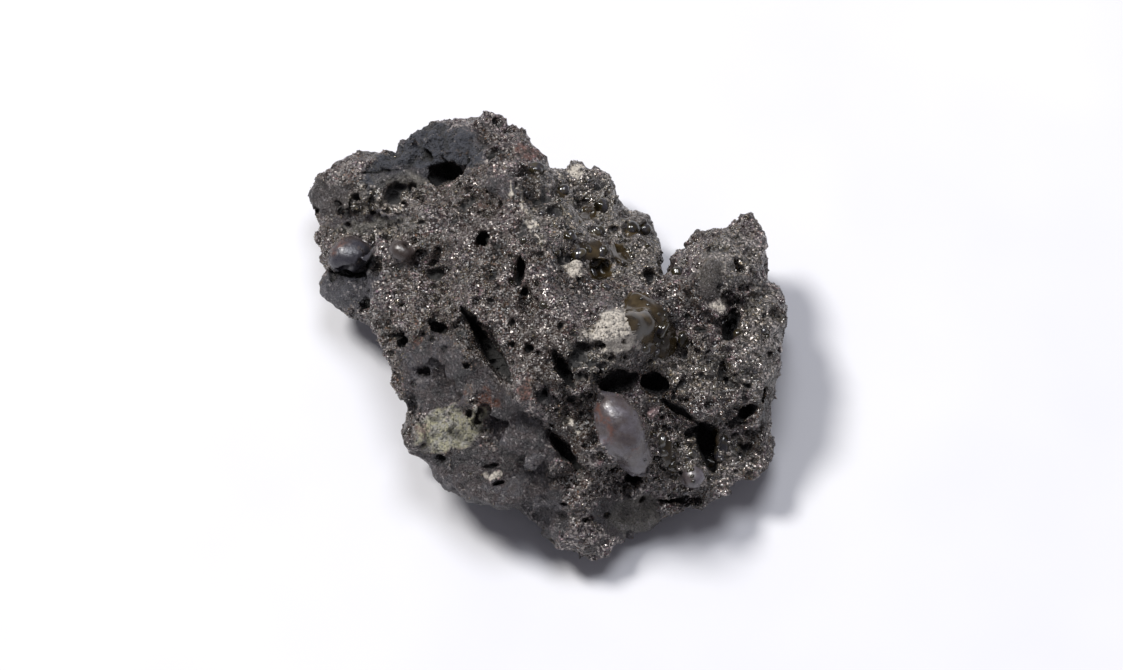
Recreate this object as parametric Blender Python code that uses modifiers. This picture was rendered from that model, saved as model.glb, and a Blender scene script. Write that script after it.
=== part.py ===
"""A hand-sized lump of furnace slag: one fused piece, full of gas pits, slits and glassy blisters.

The lump is laid out on a leaning drawing plane, the one that faces its show side. A place on that plane
is (across, up) in millimetres, and a height is always millimetres above the surface the lump rests on.
"""

import math
import random

import bmesh
import bpy
from mathutils import Matrix, Vector

MM = 0.001

# The drawing plane faces a viewer who looks down this steeply onto the lump.
LOOK_DOWN_DEG = 66.0
LOOK_SIN = math.sin(math.radians(LOOK_DOWN_DEG))
LOOK_COS = math.cos(math.radians(LOOK_DOWN_DEG))

# Moves the drawing's origin so that the lump stands centred over the world's origin.
CENTRE_SHIFT = (0.0, 4.0)

# The middle that the outline is star-shaped about: every outline point is in plain sight of it.
OUTLINE_MIDDLE = (6.5, -5.85)

# Outline of the lump on the drawing plane, clockwise from the far left: across, up, height of the rim.
OUTLINE = [
    (-31.3, 19.4, 10.0), (-29.6, 21.2, 10.5), (-27.8, 21.3, 11.5), (-24.8, 23.7, 13.0),
    (-21.3, 24.2, 14.0), (-18.6, 26.4, 14.5), (-13.3, 28.2, 15.0), (-9.1, 28.3, 15.0),
    (-3.8, 26.5, 13.0), (-1.6, 25.4, 11.5), (1.3, 22.4, 10.0), (3.6, 22.9, 9.5),
    (8.1, 20.7, 9.0), (8.7, 17.0, 9.0), (12.6, 16.1, 8.5), (14.0, 14.0, 8.5),
    (13.0, 12.2, 8.5), (14.3, 9.5, 9.0), (16.8, 10.8, 10.0), (20.8, 12.9, 11.0),
    (24.7, 15.1, 11.5), (26.4, 15.1, 11.5), (28.5, 11.2, 11.0), (28.2, 7.7, 10.5),
    (30.0, 6.9, 10.0), (31.1, 4.0, 10.0), (29.9, -3.1, 9.0), (28.6, -8.5, 8.5),
    (28.6, -16.5, 7.0), (26.3, -18.5, 6.5), (22.0, -22.1, 6.0), (15.9, -23.1, 5.0),
    (13.6, -24.1, 3.5), (12.6, -25.2, 3.0), (9.9, -25.6, 3.5), (7.0, -27.7, 5.0),
    (5.2, -28.1, 5.5), (0.1, -27.6, 6.0), (-2.5, -25.2, 7.0), (-4.7, -22.8, 8.0),
    (-12.1, -21.6, 8.5), (-15.5, -18.5, 9.0), (-16.5, -15.6, 9.5), (-19.0, -13.7, 10.0),
    (-18.6, -8.8, 10.0), (-19.6, -5.3, 9.5), (-19.9, -2.2, 9.0), (-21.7, 0.9, 8.5),
    (-26.3, 3.5, 8.0), (-29.8, 5.9, 7.5), (-29.5, 8.8, 7.5), (-30.8, 13.5, 8.0),
    (-29.9, 15.4, 8.5), (-31.1, 16.8, 9.5),
]

# Heights that the show side passes through: across, up, height.
RELIEF = [
    (-13.0, 25.4, 20.5), (-21.5, 22.0, 17.5), (-24.0, 19.0, 17.0), (-28.6, 18.0, 12.0),
    (-6.5, 19.0, 25.5), (-4.0, 17.6, 27.0), (-1.3, 13.9, 27.0), (-9.5, 11.5, 25.0),
    (-15.6, 13.6, 22.5), (-20.0, 13.0, 18.5), (-26.1, 10.5, 14.5), (-26.4, 5.9, 12.0),
    (-20.0, 5.5, 17.5), (-16.0, 2.0, 20.0), (-6.0, 4.6, 26.0), (1.3, 4.6, 28.0),
    (7.7, 0.7, 29.0), (11.0, 0.7, 27.0), (4.0, -3.5, 27.5), (-1.5, -6.0, 26.0),
    (5.2, 21.5, 13.0), (6.5, 17.5, 16.5), (11.5, 13.5, 14.5), (6.5, 9.7, 22.0),
    (11.7, 5.9, 20.0), (13.5, -1.5, 22.0), (14.0, -6.2, 19.5), (18.2, -2.0, 20.0),
    (20.9, 7.5, 21.0), (25.5, 12.0, 18.0), (27.0, 4.5, 18.5), (23.4, 0.6, 20.5),
    (20.0, -9.2, 19.0), (16.5, -8.6, 19.5), (25.3, -9.5, 17.5), (23.5, -13.2, 13.5),
    (26.5, -15.5, 11.5), (18.2, -13.5, 13.5), (18.5, -18.5, 11.0), (17.5, -21.3, 8.5),
    (9.6, -10.8, 21.5), (12.2, -17.0, 16.0), (6.5, -13.5, 21.0), (10.8, -20.2, 11.5),
    (11.5, -22.6, 6.5), (11.0, -24.4, 4.5), (3.9, -20.0, 14.5),
    (2.5, -25.2, 9.5), (-3.9, -14.5, 19.5), (-7.5, -17.5, 16.0), (-12.5, -12.4, 17.5),
    (-15.6, -8.5, 17.0), (-9.0, -7.0, 20.5), (-10.0, -1.0, 23.5), (-13.5, -18.5, 12.5),
]
RELIEF_REACH_MM = 1.6

# How squarely the show side and the underside turn in at the rim: 2 is a round edge, more is squarer.
TOP_EDGE_POWER = 3.2
UNDERSIDE_POWER = 2.1
UNDERSIDE_SINK_MM = 1.0

# Domes, blisters and pebbles that stand out of the skin: across, up, length, width, turn, rise.
DOMES = [
    (-26.1, 10.6, 5.6, 4.3, 20.0, 1.9),
    (-19.2, 10.8, 3.5, 2.9, -30.0, 0.9),
    (10.4, -13.5, 11.0, 4.3, -62.0, 1.7),
    (18.5, -18.5, 3.4, 3.4, 0.0, 1.5),
    (-18.6, -6.9, 3.4, 2.2, 90.0, 0.8),
    (7.7, 0.6, 8.0, 4.8, 10.0, 1.2),
    (-6.5, 19.2, 4.4, 2.6, -20.0, 0.6),
    (2.3, -25.2, 5.0, 3.0, 0.0, 1.0),
    (-11.0, 25.0, 4.0, 3.4, 30.0, 1.0),
    (-16.4, 24.4, 3.4, 2.8, 0.0, 0.9),
    (5.5, 14.0, 3.8, 3.0, 60.0, 0.9),
    (11.2, 11.4, 3.4, 2.8, 0.0, 0.9),
    (20.8, 7.4, 6.0, 2.8, 80.0, 0.9),
    (15.0, 4.0, 3.4, 2.4, 40.0, 0.8),
]

# Pits, holes, slits and ledge grooves: across, up, length, width, turn, depth.
PITS = [
    (-13.7, 21.3, 4.8, 3.2, 0.0, 4.0),
    (-19.8, 19.1, 2.2, 1.6, -20.0, 1.9),
    (-22.5, 20.7, 7.4, 0.9, 10.0, 0.8),
    (-8.6, 12.4, 2.8, 2.5, 80.0, 3.6),
    (-3.8, 8.3, 4.6, 1.7, 85.0, 3.2),
    (-3.5, 5.7, 2.0, 1.8, 0.0, 2.0),
    (6.1, 19.8, 2.2, 1.4, 80.0, 1.6),
    (8.1, 13.8, 1.6, 1.5, 0.0, 1.4),
    (6.5, 8.6, 3.0, 2.6, 0.0, 1.8),
    (5.6, -1.3, 1.5, 1.1, 0.0, 1.2),
    (8.1, -3.0, 1.7, 1.2, 10.0, 1.2),
    (3.8, -5.2, 1.6, 1.1, 0.0, 1.2),
    (1.7, -4.3, 6.0, 1.9, -62.0, 4.0),
    (-0.7, -7.7, 2.2, 1.2, 80.0, 1.4),
    (8.8, -6.6, 4.0, 3.2, 20.0, 3.8),
    (13.4, -6.1, 3.8, 3.2, 0.0, 4.2),
    (23.5, 1.3, 5.2, 2.4, 78.0, 4.4),
    (25.4, -9.9, 3.0, 2.8, 0.0, 3.4),
    (20.7, -9.0, 1.6, 1.3, 0.0, 1.4),
    (27.7, -7.8, 2.6, 0.9, 85.0, 0.9),
    (20.4, -14.4, 8.0, 3.0, -74.0, 4.4),
    (23.3, -11.8, 2.6, 1.1, -12.0, 1.6),
    (16.9, -21.6, 6.4, 1.1, 2.0, 1.8),
    (1.6, -14.6, 6.4, 1.8, -50.0, 3.8),
    (4.6, -14.3, 2.2, 0.9, -10.0, 1.0),
    (10.7, -18.6, 2.4, 1.4, 0.0, 1.4),
    (-7.5, -16.9, 2.3, 0.9, 10.0, 0.9),
    (7.4, -23.4, 1.4, 1.1, 0.0, 1.0),
    (5.3, -23.9, 1.4, 1.0, 0.0, 1.0),
    (-9.1, -8.2, 2.0, 1.8, 0.0, 0.7),
    (-16.4, -4.8, 2.1, 1.5, 0.0, 1.6),
    (-10.9, -3.9, 1.4, 1.1, 0.0, 1.0),
    (-7.7, -2.0, 13.4, 2.6, -57.0, 5.2),
    (-14.3, 0.9, 3.4, 1.9, 0.0, 2.4),
    (-18.7, -0.8, 2.8, 2.5, 80.0, 2.6),
    (-23.8, 3.9, 2.4, 2.1, 0.0, 2.2),
    (-22.8, 9.2, 2.3, 2.0, 40.0, 2.2),
    (3.3, 5.1, 1.9, 1.0, 0.0, 1.2),
    (-15.1, 9.5, 1.4, 1.1, 80.0, 1.2),
    (-10.1, 17.8, 1.4, 1.0, 80.0, 1.2),
]

# Marks longer than this lean with the skin. They follow it out to this share of their half length.
LONG_MARK_MM = 4.4
LONG_MARK_GRIP = 0.7

# The deep notch between the back slope and the right lobe: across, up, length, width, turn.
NOTCH = (15.2, 8.6, 7.0, 2.0, 62.0)

# Gas pits all over the back, the sides and the underside, which the marks above leave bare.
SIDE_PITS = 70
SIDE_PIT_MM = (1.1, 2.6)
SIDE_PIT_SEED = 7
SIDE_FACING_LIMIT = 0.35

# Low noise that breaks the smooth form into lumps and ledges: grain size, strength, texture kind.
ROUGHNESS = [
    ("slag_lumps", "CLOUDS", 7.0, 1.9),
    ("slag_knobs", "VORONOI", 4.2, 1.2),
    ("slag_grit", "CLOUDS", 1.9, 1.1),
]

RINGS = 48
SPOKES = 160
COARSE_VOXEL_MM = 0.75
FINE_VOXEL_MM = 0.42
TRIANGLES_WANTED = 9300
BASE_BOX_MM = 90.0

SLAG_COLOUR = (0.075, 0.063, 0.060, 1.0)
SLAG_ROUGHNESS = 0.62


def clear_scene():
    """Removes every object and every collection but the scene's own."""
    for thing in list(bpy.data.objects):
        bpy.data.objects.remove(thing)
    for group in list(bpy.data.collections):
        bpy.data.collections.remove(group)


def new_collection(name, hidden=False):
    group = bpy.data.collections.new(name)
    group.hide_render = hidden
    bpy.context.scene.collection.children.link(group)
    return group


def world_from_plane(across, up, height):
    """The world point, in metres, of a place on the drawing plane and a height above the ground."""
    along = (up - height * LOOK_COS) / LOOK_SIN
    return Vector(((across + CENTRE_SHIFT[0]) * MM, (along + CENTRE_SHIFT[1]) * MM, height * MM))


def view_direction():
    """Unit vector from the viewer of the drawing plane into the lump."""
    return Vector((0.0, LOOK_COS, -LOOK_SIN))


def relief_height(across, up):
    """Height of the show side away from the rim, smoothly between the heights in RELIEF."""
    total = 0.0
    weighed = 0.0
    for place_across, place_up, height in RELIEF:
        away = (across - place_across) ** 2 + (up - place_up) ** 2
        weight = 1.0 / (away + RELIEF_REACH_MM**2) ** 2
        total += weight
        weighed += weight * height
    return weighed / total


def outline_by_angle():
    """The outline about its middle as (angle, distance, rim height), sorted by angle."""
    found = []
    for across, up, height in OUTLINE:
        arm = (across - OUTLINE_MIDDLE[0], up - OUTLINE_MIDDLE[1])
        found.append((math.atan2(arm[1], arm[0]), math.hypot(*arm), height))
    return sorted(found)


def rim_at(angle, corners):
    """(across, up, height) where the ray from the middle at this angle meets the outline."""
    turn = 2 * math.pi
    ring = corners + [(corners[0][0] + turn, corners[0][1], corners[0][2])]
    if angle < ring[0][0]:
        angle += turn
    for (start, near, low), (end, far, high) in zip(ring, ring[1:]):
        if start <= angle <= end:
            break
    a = Vector((near * math.cos(start), near * math.sin(start)))
    b = Vector((far * math.cos(end), far * math.sin(end)))
    ray = Vector((math.cos(angle), math.sin(angle)))
    side = b - a
    part = a.cross(ray) / ray.cross(side) if abs(ray.cross(side)) > 1e-9 else 0.0
    part = min(max(part, 0.0), 1.0)
    at = a + side * part
    return at.x + OUTLINE_MIDDLE[0], at.y + OUTLINE_MIDDLE[1], low + (high - low) * part


def bent_to_form(ball_point, corners):
    """Moves a point of a unit ball to the lump: its compass angle picks the rim, its height the side."""
    out = min(math.hypot(ball_point.x, ball_point.y), 1.0)
    angle = math.atan2(ball_point.y, ball_point.x)
    rim_across, rim_up, rim_height = rim_at(angle, corners)
    across = OUTLINE_MIDDLE[0] + (rim_across - OUTLINE_MIDDLE[0]) * out
    up = OUTLINE_MIDDLE[1] + (rim_up - OUTLINE_MIDDLE[1]) * out
    if ball_point.z >= 0:
        full = (1 - out**TOP_EDGE_POWER) ** (1 / TOP_EDGE_POWER)
        height = rim_height + (relief_height(across, up) - rim_height) * full
    else:
        full = (1 - out**UNDERSIDE_POWER) ** (1 / UNDERSIDE_POWER)
        height = rim_height - (rim_height + UNDERSIDE_SINK_MM) * full
    return world_from_plane(across, up, height)


def object_from_bmesh(name, shape, group):
    mesh = bpy.data.meshes.new(name)
    shape.to_mesh(mesh)
    shape.free()
    thing = bpy.data.objects.new(name, mesh)
    group.objects.link(thing)
    return thing


def make_body(group):
    """The lump's main form: a ball bent to the outline, the relief and the underside."""
    shape = bmesh.new()
    bmesh.ops.create_uvsphere(shape, u_segments=SPOKES, v_segments=RINGS, radius=1.0)
    corners = outline_by_angle()
    for vert in shape.verts:
        vert.co = bent_to_form(vert.co, corners)
    bmesh.ops.recalc_face_normals(shape, faces=shape.faces)
    return object_from_bmesh("slag", shape, group)


def add_ellipsoid(shape, middle, axes, sizes):
    """Adds an ellipsoid to a bmesh. axes are three unit vectors and sizes the whole lengths along them."""
    placed = Matrix.Identity(4)
    for column, (axis, size) in enumerate(zip(axes, sizes)):
        for row in range(3):
            placed[row][column] = axis[row] * size / 2
    placed.translation = middle
    bmesh.ops.create_icosphere(shape, subdivisions=2, radius=1.0, matrix=placed)


def plane_axes(turn_deg):
    """Long, short and depth axes in the world of a mark turned on the drawing plane."""
    right = Vector((1.0, 0.0, 0.0))
    rise = Vector((0.0, LOOK_SIN, LOOK_COS))
    turn = math.radians(turn_deg)
    long_axis = right * math.cos(turn) + rise * math.sin(turn)
    short_axis = rise * math.cos(turn) - right * math.sin(turn)
    return long_axis, short_axis, long_axis.cross(short_axis)


def skin_point(body, across, up):
    """Where the viewer of the drawing plane sees the body at this place."""
    start = world_from_plane(across, up, 0.0) - view_direction() * 100 * MM
    hit, place, _, _ = body.ray_cast(start, view_direction())
    if not hit:
        raise ValueError(f"no skin at {across}, {up}")
    return place


def place_on_skin(body, across, up, length, turn_deg):
    """Middle, axes and true length of a mark. A long one leans with the skin under its two ends."""
    middle = skin_point(body, across, up)
    axes = plane_axes(turn_deg)
    if length < LONG_MARK_MM:
        return middle, axes, length * MM
    reach = LONG_MARK_GRIP * length / 2
    turn = math.radians(turn_deg)
    step = (reach * math.cos(turn), reach * math.sin(turn))
    one_end = skin_point(body, across + step[0], up + step[1])
    other_end = skin_point(body, across - step[0], up - step[1])
    long_axis = (one_end - other_end).normalized()
    short_axis = view_direction().cross(long_axis).normalized()
    leaning = (long_axis, short_axis, long_axis.cross(short_axis))
    true_length = length * MM / long_axis.dot(axes[0])
    return (one_end + other_end + middle) / 3, leaning, true_length


def join_domes(body):
    """Sets the domes into the body as more closed shells, which the coarse remesh fuses."""
    shape = bmesh.new()
    shape.from_mesh(body.data)
    for across, up, length, width, turn, rise in DOMES:
        middle, axes, true_length = place_on_skin(body, across, up, length, turn)
        sunk = middle + view_direction() * (width / 2 - rise) * MM
        add_ellipsoid(shape, sunk, axes, (true_length, width * MM, width * MM))
    shape.to_mesh(body.data)
    shape.free()


def add_remesh(thing, name, voxel_mm):
    remesh = thing.modifiers.new(name, "REMESH")
    remesh.mode = "VOXEL"
    remesh.voxel_size = voxel_mm * MM
    remesh.adaptivity = 0.0


def roughen(thing):
    """Pushes the skin in and out by three sizes of noise."""
    for name, kind, grain_mm, strength_mm in ROUGHNESS:
        noise = bpy.data.textures.new(name, kind)
        noise.noise_scale = grain_mm * MM
        push = thing.modifiers.new(name, "DISPLACE")
        push.texture = noise
        push.texture_coords = "LOCAL"
        push.mid_level = 0.5
        push.strength = strength_mm * MM


def bake_modifiers(thing):
    """Makes the modified mesh the object's own mesh."""
    graph = bpy.context.evaluated_depsgraph_get()
    baked = bpy.data.meshes.new_from_object(thing.evaluated_get(graph), depsgraph=graph)
    thing.modifiers.clear()
    thing.data = baked


def make_pit_cutter(body, group):
    """One cutter mesh of every pit and slit, each sunk half its depth into the skin."""
    shape = bmesh.new()
    for across, up, length, width, turn, depth in PITS:
        middle, axes, true_length = place_on_skin(body, across, up, length, turn)
        add_ellipsoid(shape, middle, axes, (true_length, width * MM, 2 * depth * MM))
    return object_from_bmesh("pit_cutter", shape, group)


def make_side_pit_cutter(body, group):
    """Round gas pits at seeded random places on the skin that faces away from the show side."""
    dice = random.Random(SIDE_PIT_SEED)
    faces = [f for f in body.data.polygons if f.normal.dot(-view_direction()) < SIDE_FACING_LIMIT]
    shape = bmesh.new()
    for _ in range(SIDE_PITS):
        face = dice.choice(faces)
        width = dice.uniform(*SIDE_PIT_MM) * MM
        axes = Matrix.Rotation(dice.uniform(0.0, math.pi), 3, face.normal)
        long_axis = axes @ face.normal.orthogonal().normalized()
        middle = body.data.vertices[face.vertices[0]].co
        sizes = (width * dice.uniform(1.0, 1.6), width, width * 1.3)
        add_ellipsoid(shape, middle, (long_axis, face.normal.cross(long_axis), face.normal), sizes)
    return object_from_bmesh("side_pit_cutter", shape, group)


def make_notch_cutter(group):
    """A tall flat ellipsoid that runs right through the rim at the notch."""
    across, up, length, width, turn = NOTCH
    shape = bmesh.new()
    middle = world_from_plane(across, up, 12.0)
    add_ellipsoid(shape, middle, plane_axes(turn), (length * MM, width * MM, 60 * MM))
    return object_from_bmesh("notch_cutter", shape, group)


def make_ground_cutter(group):
    """A box whose top face is the surface that the lump rests on."""
    shape = bmesh.new()
    bmesh.ops.create_cube(shape, size=BASE_BOX_MM * MM)
    bmesh.ops.translate(shape, verts=shape.verts, vec=(0.0, 0.0, -BASE_BOX_MM / 2 * MM))
    return object_from_bmesh("ground_cutter", shape, group)


def cut(thing, cutter):
    cutter.display_type = "WIRE"
    cutter.hide_render = True
    boolean = thing.modifiers.new(cutter.name, "BOOLEAN")
    boolean.operation = "DIFFERENCE"
    boolean.solver = "EXACT"
    boolean.use_self = True
    boolean.object = cutter


def thin_out(thing):
    """Collapses the fine remesh to the triangles wanted, which keeps the most where the skin bends most."""
    thing.data.calc_loop_triangles()
    thin = thing.modifiers.new("thin_out", "DECIMATE")
    thin.ratio = min(1.0, TRIANGLES_WANTED / len(thing.data.loop_triangles))


def slag_material():
    made = bpy.data.materials.new("fused_slag")
    made.use_nodes = True
    surface = made.node_tree.nodes["Principled BSDF"]
    surface.inputs["Base Color"].default_value = SLAG_COLOUR
    surface.inputs["Roughness"].default_value = SLAG_ROUGHNESS
    surface.inputs["Metallic"].default_value = 0.0
    return made


def main():
    clear_scene()
    parts = new_collection("slag_lump")
    cutters = new_collection("cutters", hidden=True)
    body = make_body(parts)
    bpy.context.view_layer.update()
    join_domes(body)
    add_remesh(body, "fuse", COARSE_VOXEL_MM)
    roughen(body)
    bake_modifiers(body)
    bpy.context.view_layer.update()
    cut(body, make_pit_cutter(body, cutters))
    cut(body, make_side_pit_cutter(body, cutters))
    cut(body, make_notch_cutter(cutters))
    add_remesh(body, "even_out", FINE_VOXEL_MM)
    bake_modifiers(body)
    thin_out(body)
    cut(body, make_ground_cutter(cutters))
    body.data.materials.clear()
    body.data.materials.append(slag_material())


main()
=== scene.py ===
"""The finish of a lump of furnace slag: its pitted skin, glassy blisters, pale patches and crystal crust.

Places on the lump are given on the same leaning drawing plane as the solid's: (across, up) in
millimetres, as seen by a viewer who looks down at LOOK_DOWN_DEG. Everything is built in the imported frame.
"""

import math

import bpy
import numpy as np
import openvdb
from bpy.props import FloatProperty, FloatVectorProperty, IntProperty, PointerProperty
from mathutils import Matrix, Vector


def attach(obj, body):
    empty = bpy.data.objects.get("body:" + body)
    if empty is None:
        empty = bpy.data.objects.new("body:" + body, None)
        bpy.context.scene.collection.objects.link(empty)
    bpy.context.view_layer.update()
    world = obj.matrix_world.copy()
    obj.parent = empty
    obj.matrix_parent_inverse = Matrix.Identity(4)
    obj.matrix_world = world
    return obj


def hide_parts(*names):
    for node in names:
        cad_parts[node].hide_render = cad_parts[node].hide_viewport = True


bl_info = {
    "name": "Slag Lump Finish",
    "version": (1, 0, 0),
    "blender": (4, 5, 0),
    "location": "View3D > Sidebar > Slag",
    "description": "Builds the pitted skin, the crystal crust and the studio of a slag lump",
    "category": "Object",
}

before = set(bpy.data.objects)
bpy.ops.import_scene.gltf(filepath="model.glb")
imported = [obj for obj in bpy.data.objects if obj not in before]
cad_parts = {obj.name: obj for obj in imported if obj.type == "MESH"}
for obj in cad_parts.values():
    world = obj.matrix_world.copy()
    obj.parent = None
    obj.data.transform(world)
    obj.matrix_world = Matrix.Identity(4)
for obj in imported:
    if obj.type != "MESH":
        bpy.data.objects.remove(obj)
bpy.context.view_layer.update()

MM = 0.001
LOOK_DOWN_DEG = 66.0
LOOK_SIN = math.sin(math.radians(LOOK_DOWN_DEG))
LOOK_COS = math.cos(math.radians(LOOK_DOWN_DEG))
CENTRE_SHIFT = (0.0, 4.0)

# Directions of the drawing plane in the world: across, up the plane, and towards the viewer.
ACROSS = np.array((1.0, 0.0, 0.0))
UP = np.array((0.0, LOOK_SIN, LOOK_COS))
TOWARDS = np.array((0.0, -LOOK_COS, LOOK_SIN))


# ---- Settings ----


def linear(colour):
    """An sRGB hex colour as linear red, green and blue. A colour that is linear already stays as it is."""
    if not isinstance(colour, str):
        return tuple(colour)
    parts = [int(colour[i : i + 2], 16) / 255 for i in (1, 3, 5)]
    return tuple(p / 12.92 if p <= 0.04045 else ((p + 0.055) / 1.055) ** 2.4 for p in parts)


class SlagSizes(bpy.types.PropertyGroup):
    """Sizes of the skin and of the grains on it."""

    cell: FloatProperty(
        name="Skin cell", description="Spacing of the grid that the skin is meshed from",
        default=0.25 * MM, min=0.15 * MM, subtype="DISTANCE", unit="LENGTH",
    )
    skin_triangles: IntProperty(
        name="Skin triangles", description="Most triangles that the skin keeps after it is thinned out",
        default=197000,
    )
    lump_depth: FloatProperty(
        name="Lump depth", description="How far the coarse lumps stand in and out",
        default=0.42 * MM, subtype="DISTANCE", unit="LENGTH",
    )
    grit_depth: FloatProperty(
        name="Grit depth", description="How far the finest modelled grit stands in and out",
        default=0.11 * MM, subtype="DISTANCE", unit="LENGTH",
    )
    small_pits: IntProperty(
        name="Small gas pits", description="How many small round gas pits are tried over the whole skin",
        default=8000,
    )
    grain_size: FloatProperty(
        name="Grain size", description="Usual width of a crystal grain",
        default=0.42 * MM, subtype="DISTANCE", unit="LENGTH",
    )


class SlagColours(bpy.types.PropertyGroup):
    """Colours of the slag's finishes, as linear values."""

    stone: FloatVectorProperty(
        name="Stone", description="Rough grey-brown slag",
        default=linear("#4D3F3E"), size=3, subtype="COLOR",
    )
    crust: FloatVectorProperty(
        name="Crust", description="Matt blue-black crust of the cold corner",
        default=linear("#262933"), size=3, subtype="COLOR",
    )
    chalk: FloatVectorProperty(
        name="Chalk", description="Cream porous patch",
        default=linear("#BFB7AB"), size=3, subtype="COLOR",
    )
    sulphur: FloatVectorProperty(
        name="Sulphur bloom", description="Grey yellow-green bloom",
        default=linear("#989477"), size=3, subtype="COLOR",
    )
    rust: FloatVectorProperty(
        name="Rust", description="Orange-brown iron stain",
        default=linear("#5E3420"), size=3, subtype="COLOR",
    )
    glass: FloatVectorProperty(
        name="Slag glass", description="Olive-brown glass that welled out of the slag",
        default=linear("#2F2617"), size=3, subtype="COLOR",
    )
    blister: FloatVectorProperty(
        name="Blister skin", description="Smooth mauve-grey skin of the gas blisters",
        default=linear("#534E52"), size=3, subtype="COLOR",
    )


# ---- Marks on the show side: across, up, length, width, turn (degrees), then depth or rise, all in mm ----

# Broad shallow hollows: their rims are the ledges of the show side.
SCOOPS = {
    "back_step": (4.8, 17.4, 17.0, 8.5, -55.0, 1.7),
    "under_shelf": (15.2, -14.2, 25.0, 13.0, -13.0, 1.3),
    "grey_tier": (-8.6, -13.5, 26.0, 13.0, -52.0, 2.5),
    "left_tier": (-22.8, 13.0, 19.0, 11.0, 75.0, 2.4),
    "ledge_foot": (-21.6, 16.9, 13.0, 5.0, 6.0, 0.9),
    "lip_shade": (21.6, -14.1, 10.0, 5.6, -3.0, 1.2),
    "lip_corner": (16.3, -12.6, 7.0, 4.6, -44.0, 0.9),
    "spine_drop": (-0.9, 17.2, 11.0, 4.6, -66.0, 1.9),
    "mid_drop": (-16.0, 7.2, 12.0, 4.4, -64.0, 1.5),
    "centre_valley": (-2.9, 5.8, 8.0, 4.0, -80.0, 1.5),
    "lobe_valley": (16.9, 3.6, 8.0, 4.4, -60.0, 1.4),
    "foot_tier": (-6.5, -23.4, 17.0, 6.0, -12.0, 1.4),
    "under_facet": (-8.0, 17.0, 6.0, 3.6, -30.0, 1.2),
    "mid_terrace": (2.0, -9.0, 9.0, 5.0, -35.0, 1.2),
    "lobe_face": (24.0, 6.0, 12.0, 5.0, 75.0, 1.2),
    "glass_slope": (15.6, -0.2, 9.6, 5.6, -56.0, 2.0),
}

# Blisters that gas blew up under the skin before it froze.
BLISTERS = {
    "corner_blister": (-26.1, 10.6, 5.8, 4.6, 20.0, 3.1),
    "small_brown_blister": (-19.2, 10.8, 3.5, 3.0, -30.0, 1.6),
    "long_blister": (9.6, -12.9, 12.0, 5.2, -64.0, 2.8),
    "blister_head": (9.1, -11.9, 9.0, 5.7, -62.0, 2.4),
    "lip_ball": (18.6, -18.4, 3.0, 2.8, 0.0, 2.3),
}

# Humps, beads, grains and ribs that stand on the skin.
LUMPS = {
    "chalk_hump": (7.7, 0.6, 8.0, 4.8, 10.0, 1.0),
    "upper_facet": (-6.5, 19.2, 4.4, 2.6, -20.0, 0.5),
    "foot_lobe": (2.3, -25.2, 5.0, 3.0, 0.0, 0.8),
    "crust_knob_a": (-11.0, 25.0, 4.0, 3.4, 30.0, 0.9),
    "crust_knob_b": (-16.4, 24.4, 3.4, 2.8, 0.0, 0.8),
    "glass_bead_a": (1.7, 18.9, 1.6, 1.2, 60.0, 0.7),
    "glass_bead_b": (6.8, 17.0, 1.8, 1.4, -40.0, 0.7),
    "glass_bead_c": (6.1, 13.5, 1.9, 1.4, 10.0, 0.7),
    "glass_bead_d": (10.7, 14.0, 1.6, 1.3, 70.0, 0.6),
    "glass_bead_e": (12.4, 13.9, 1.3, 1.1, 0.0, 0.5),
    "glass_bead_f": (3.5, 10.5, 1.6, 1.1, 30.0, 0.6),
    "dark_bubble": (2.6, 12.9, 1.5, 1.4, 0.0, 0.7),
    "beige_pebble": (3.3, 8.8, 2.3, 1.7, 20.0, 1.1),
    "bright_bead": (-0.9, 3.8, 0.9, 0.8, 0.0, 0.5),
    "white_crystal": (2.6, -11.7, 1.4, 1.1, 30.0, 0.7),
    "pink_grain_a": (10.0, -16.2, 1.0, 0.8, 0.0, 0.4),
    "pink_grain_b": (13.0, -10.4, 1.9, 1.3, 20.0, 0.6),
    "pink_grain_c": (6.4, -16.5, 1.1, 0.9, 0.0, 0.4),
    "glass_hump": (12.9, 1.4, 9.2, 4.6, -56.0, 0.4),
    "brown_rib": (20.9, 7.6, 6.0, 2.2, 80.0, 0.7),
    "under_lip": (16.4, -22.4, 5.4, 1.2, 4.0, 0.7),
    "ridge_crest": (-2.0, 14.5, 7.0, 1.0, -60.0, 0.5),
    "streak_bank": (15.0, -14.9, 5.4, 2.2, -76.0, 0.6),
    "edge_bump": (-18.6, -6.9, 3.4, 2.2, 90.0, 0.8),
}

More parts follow.
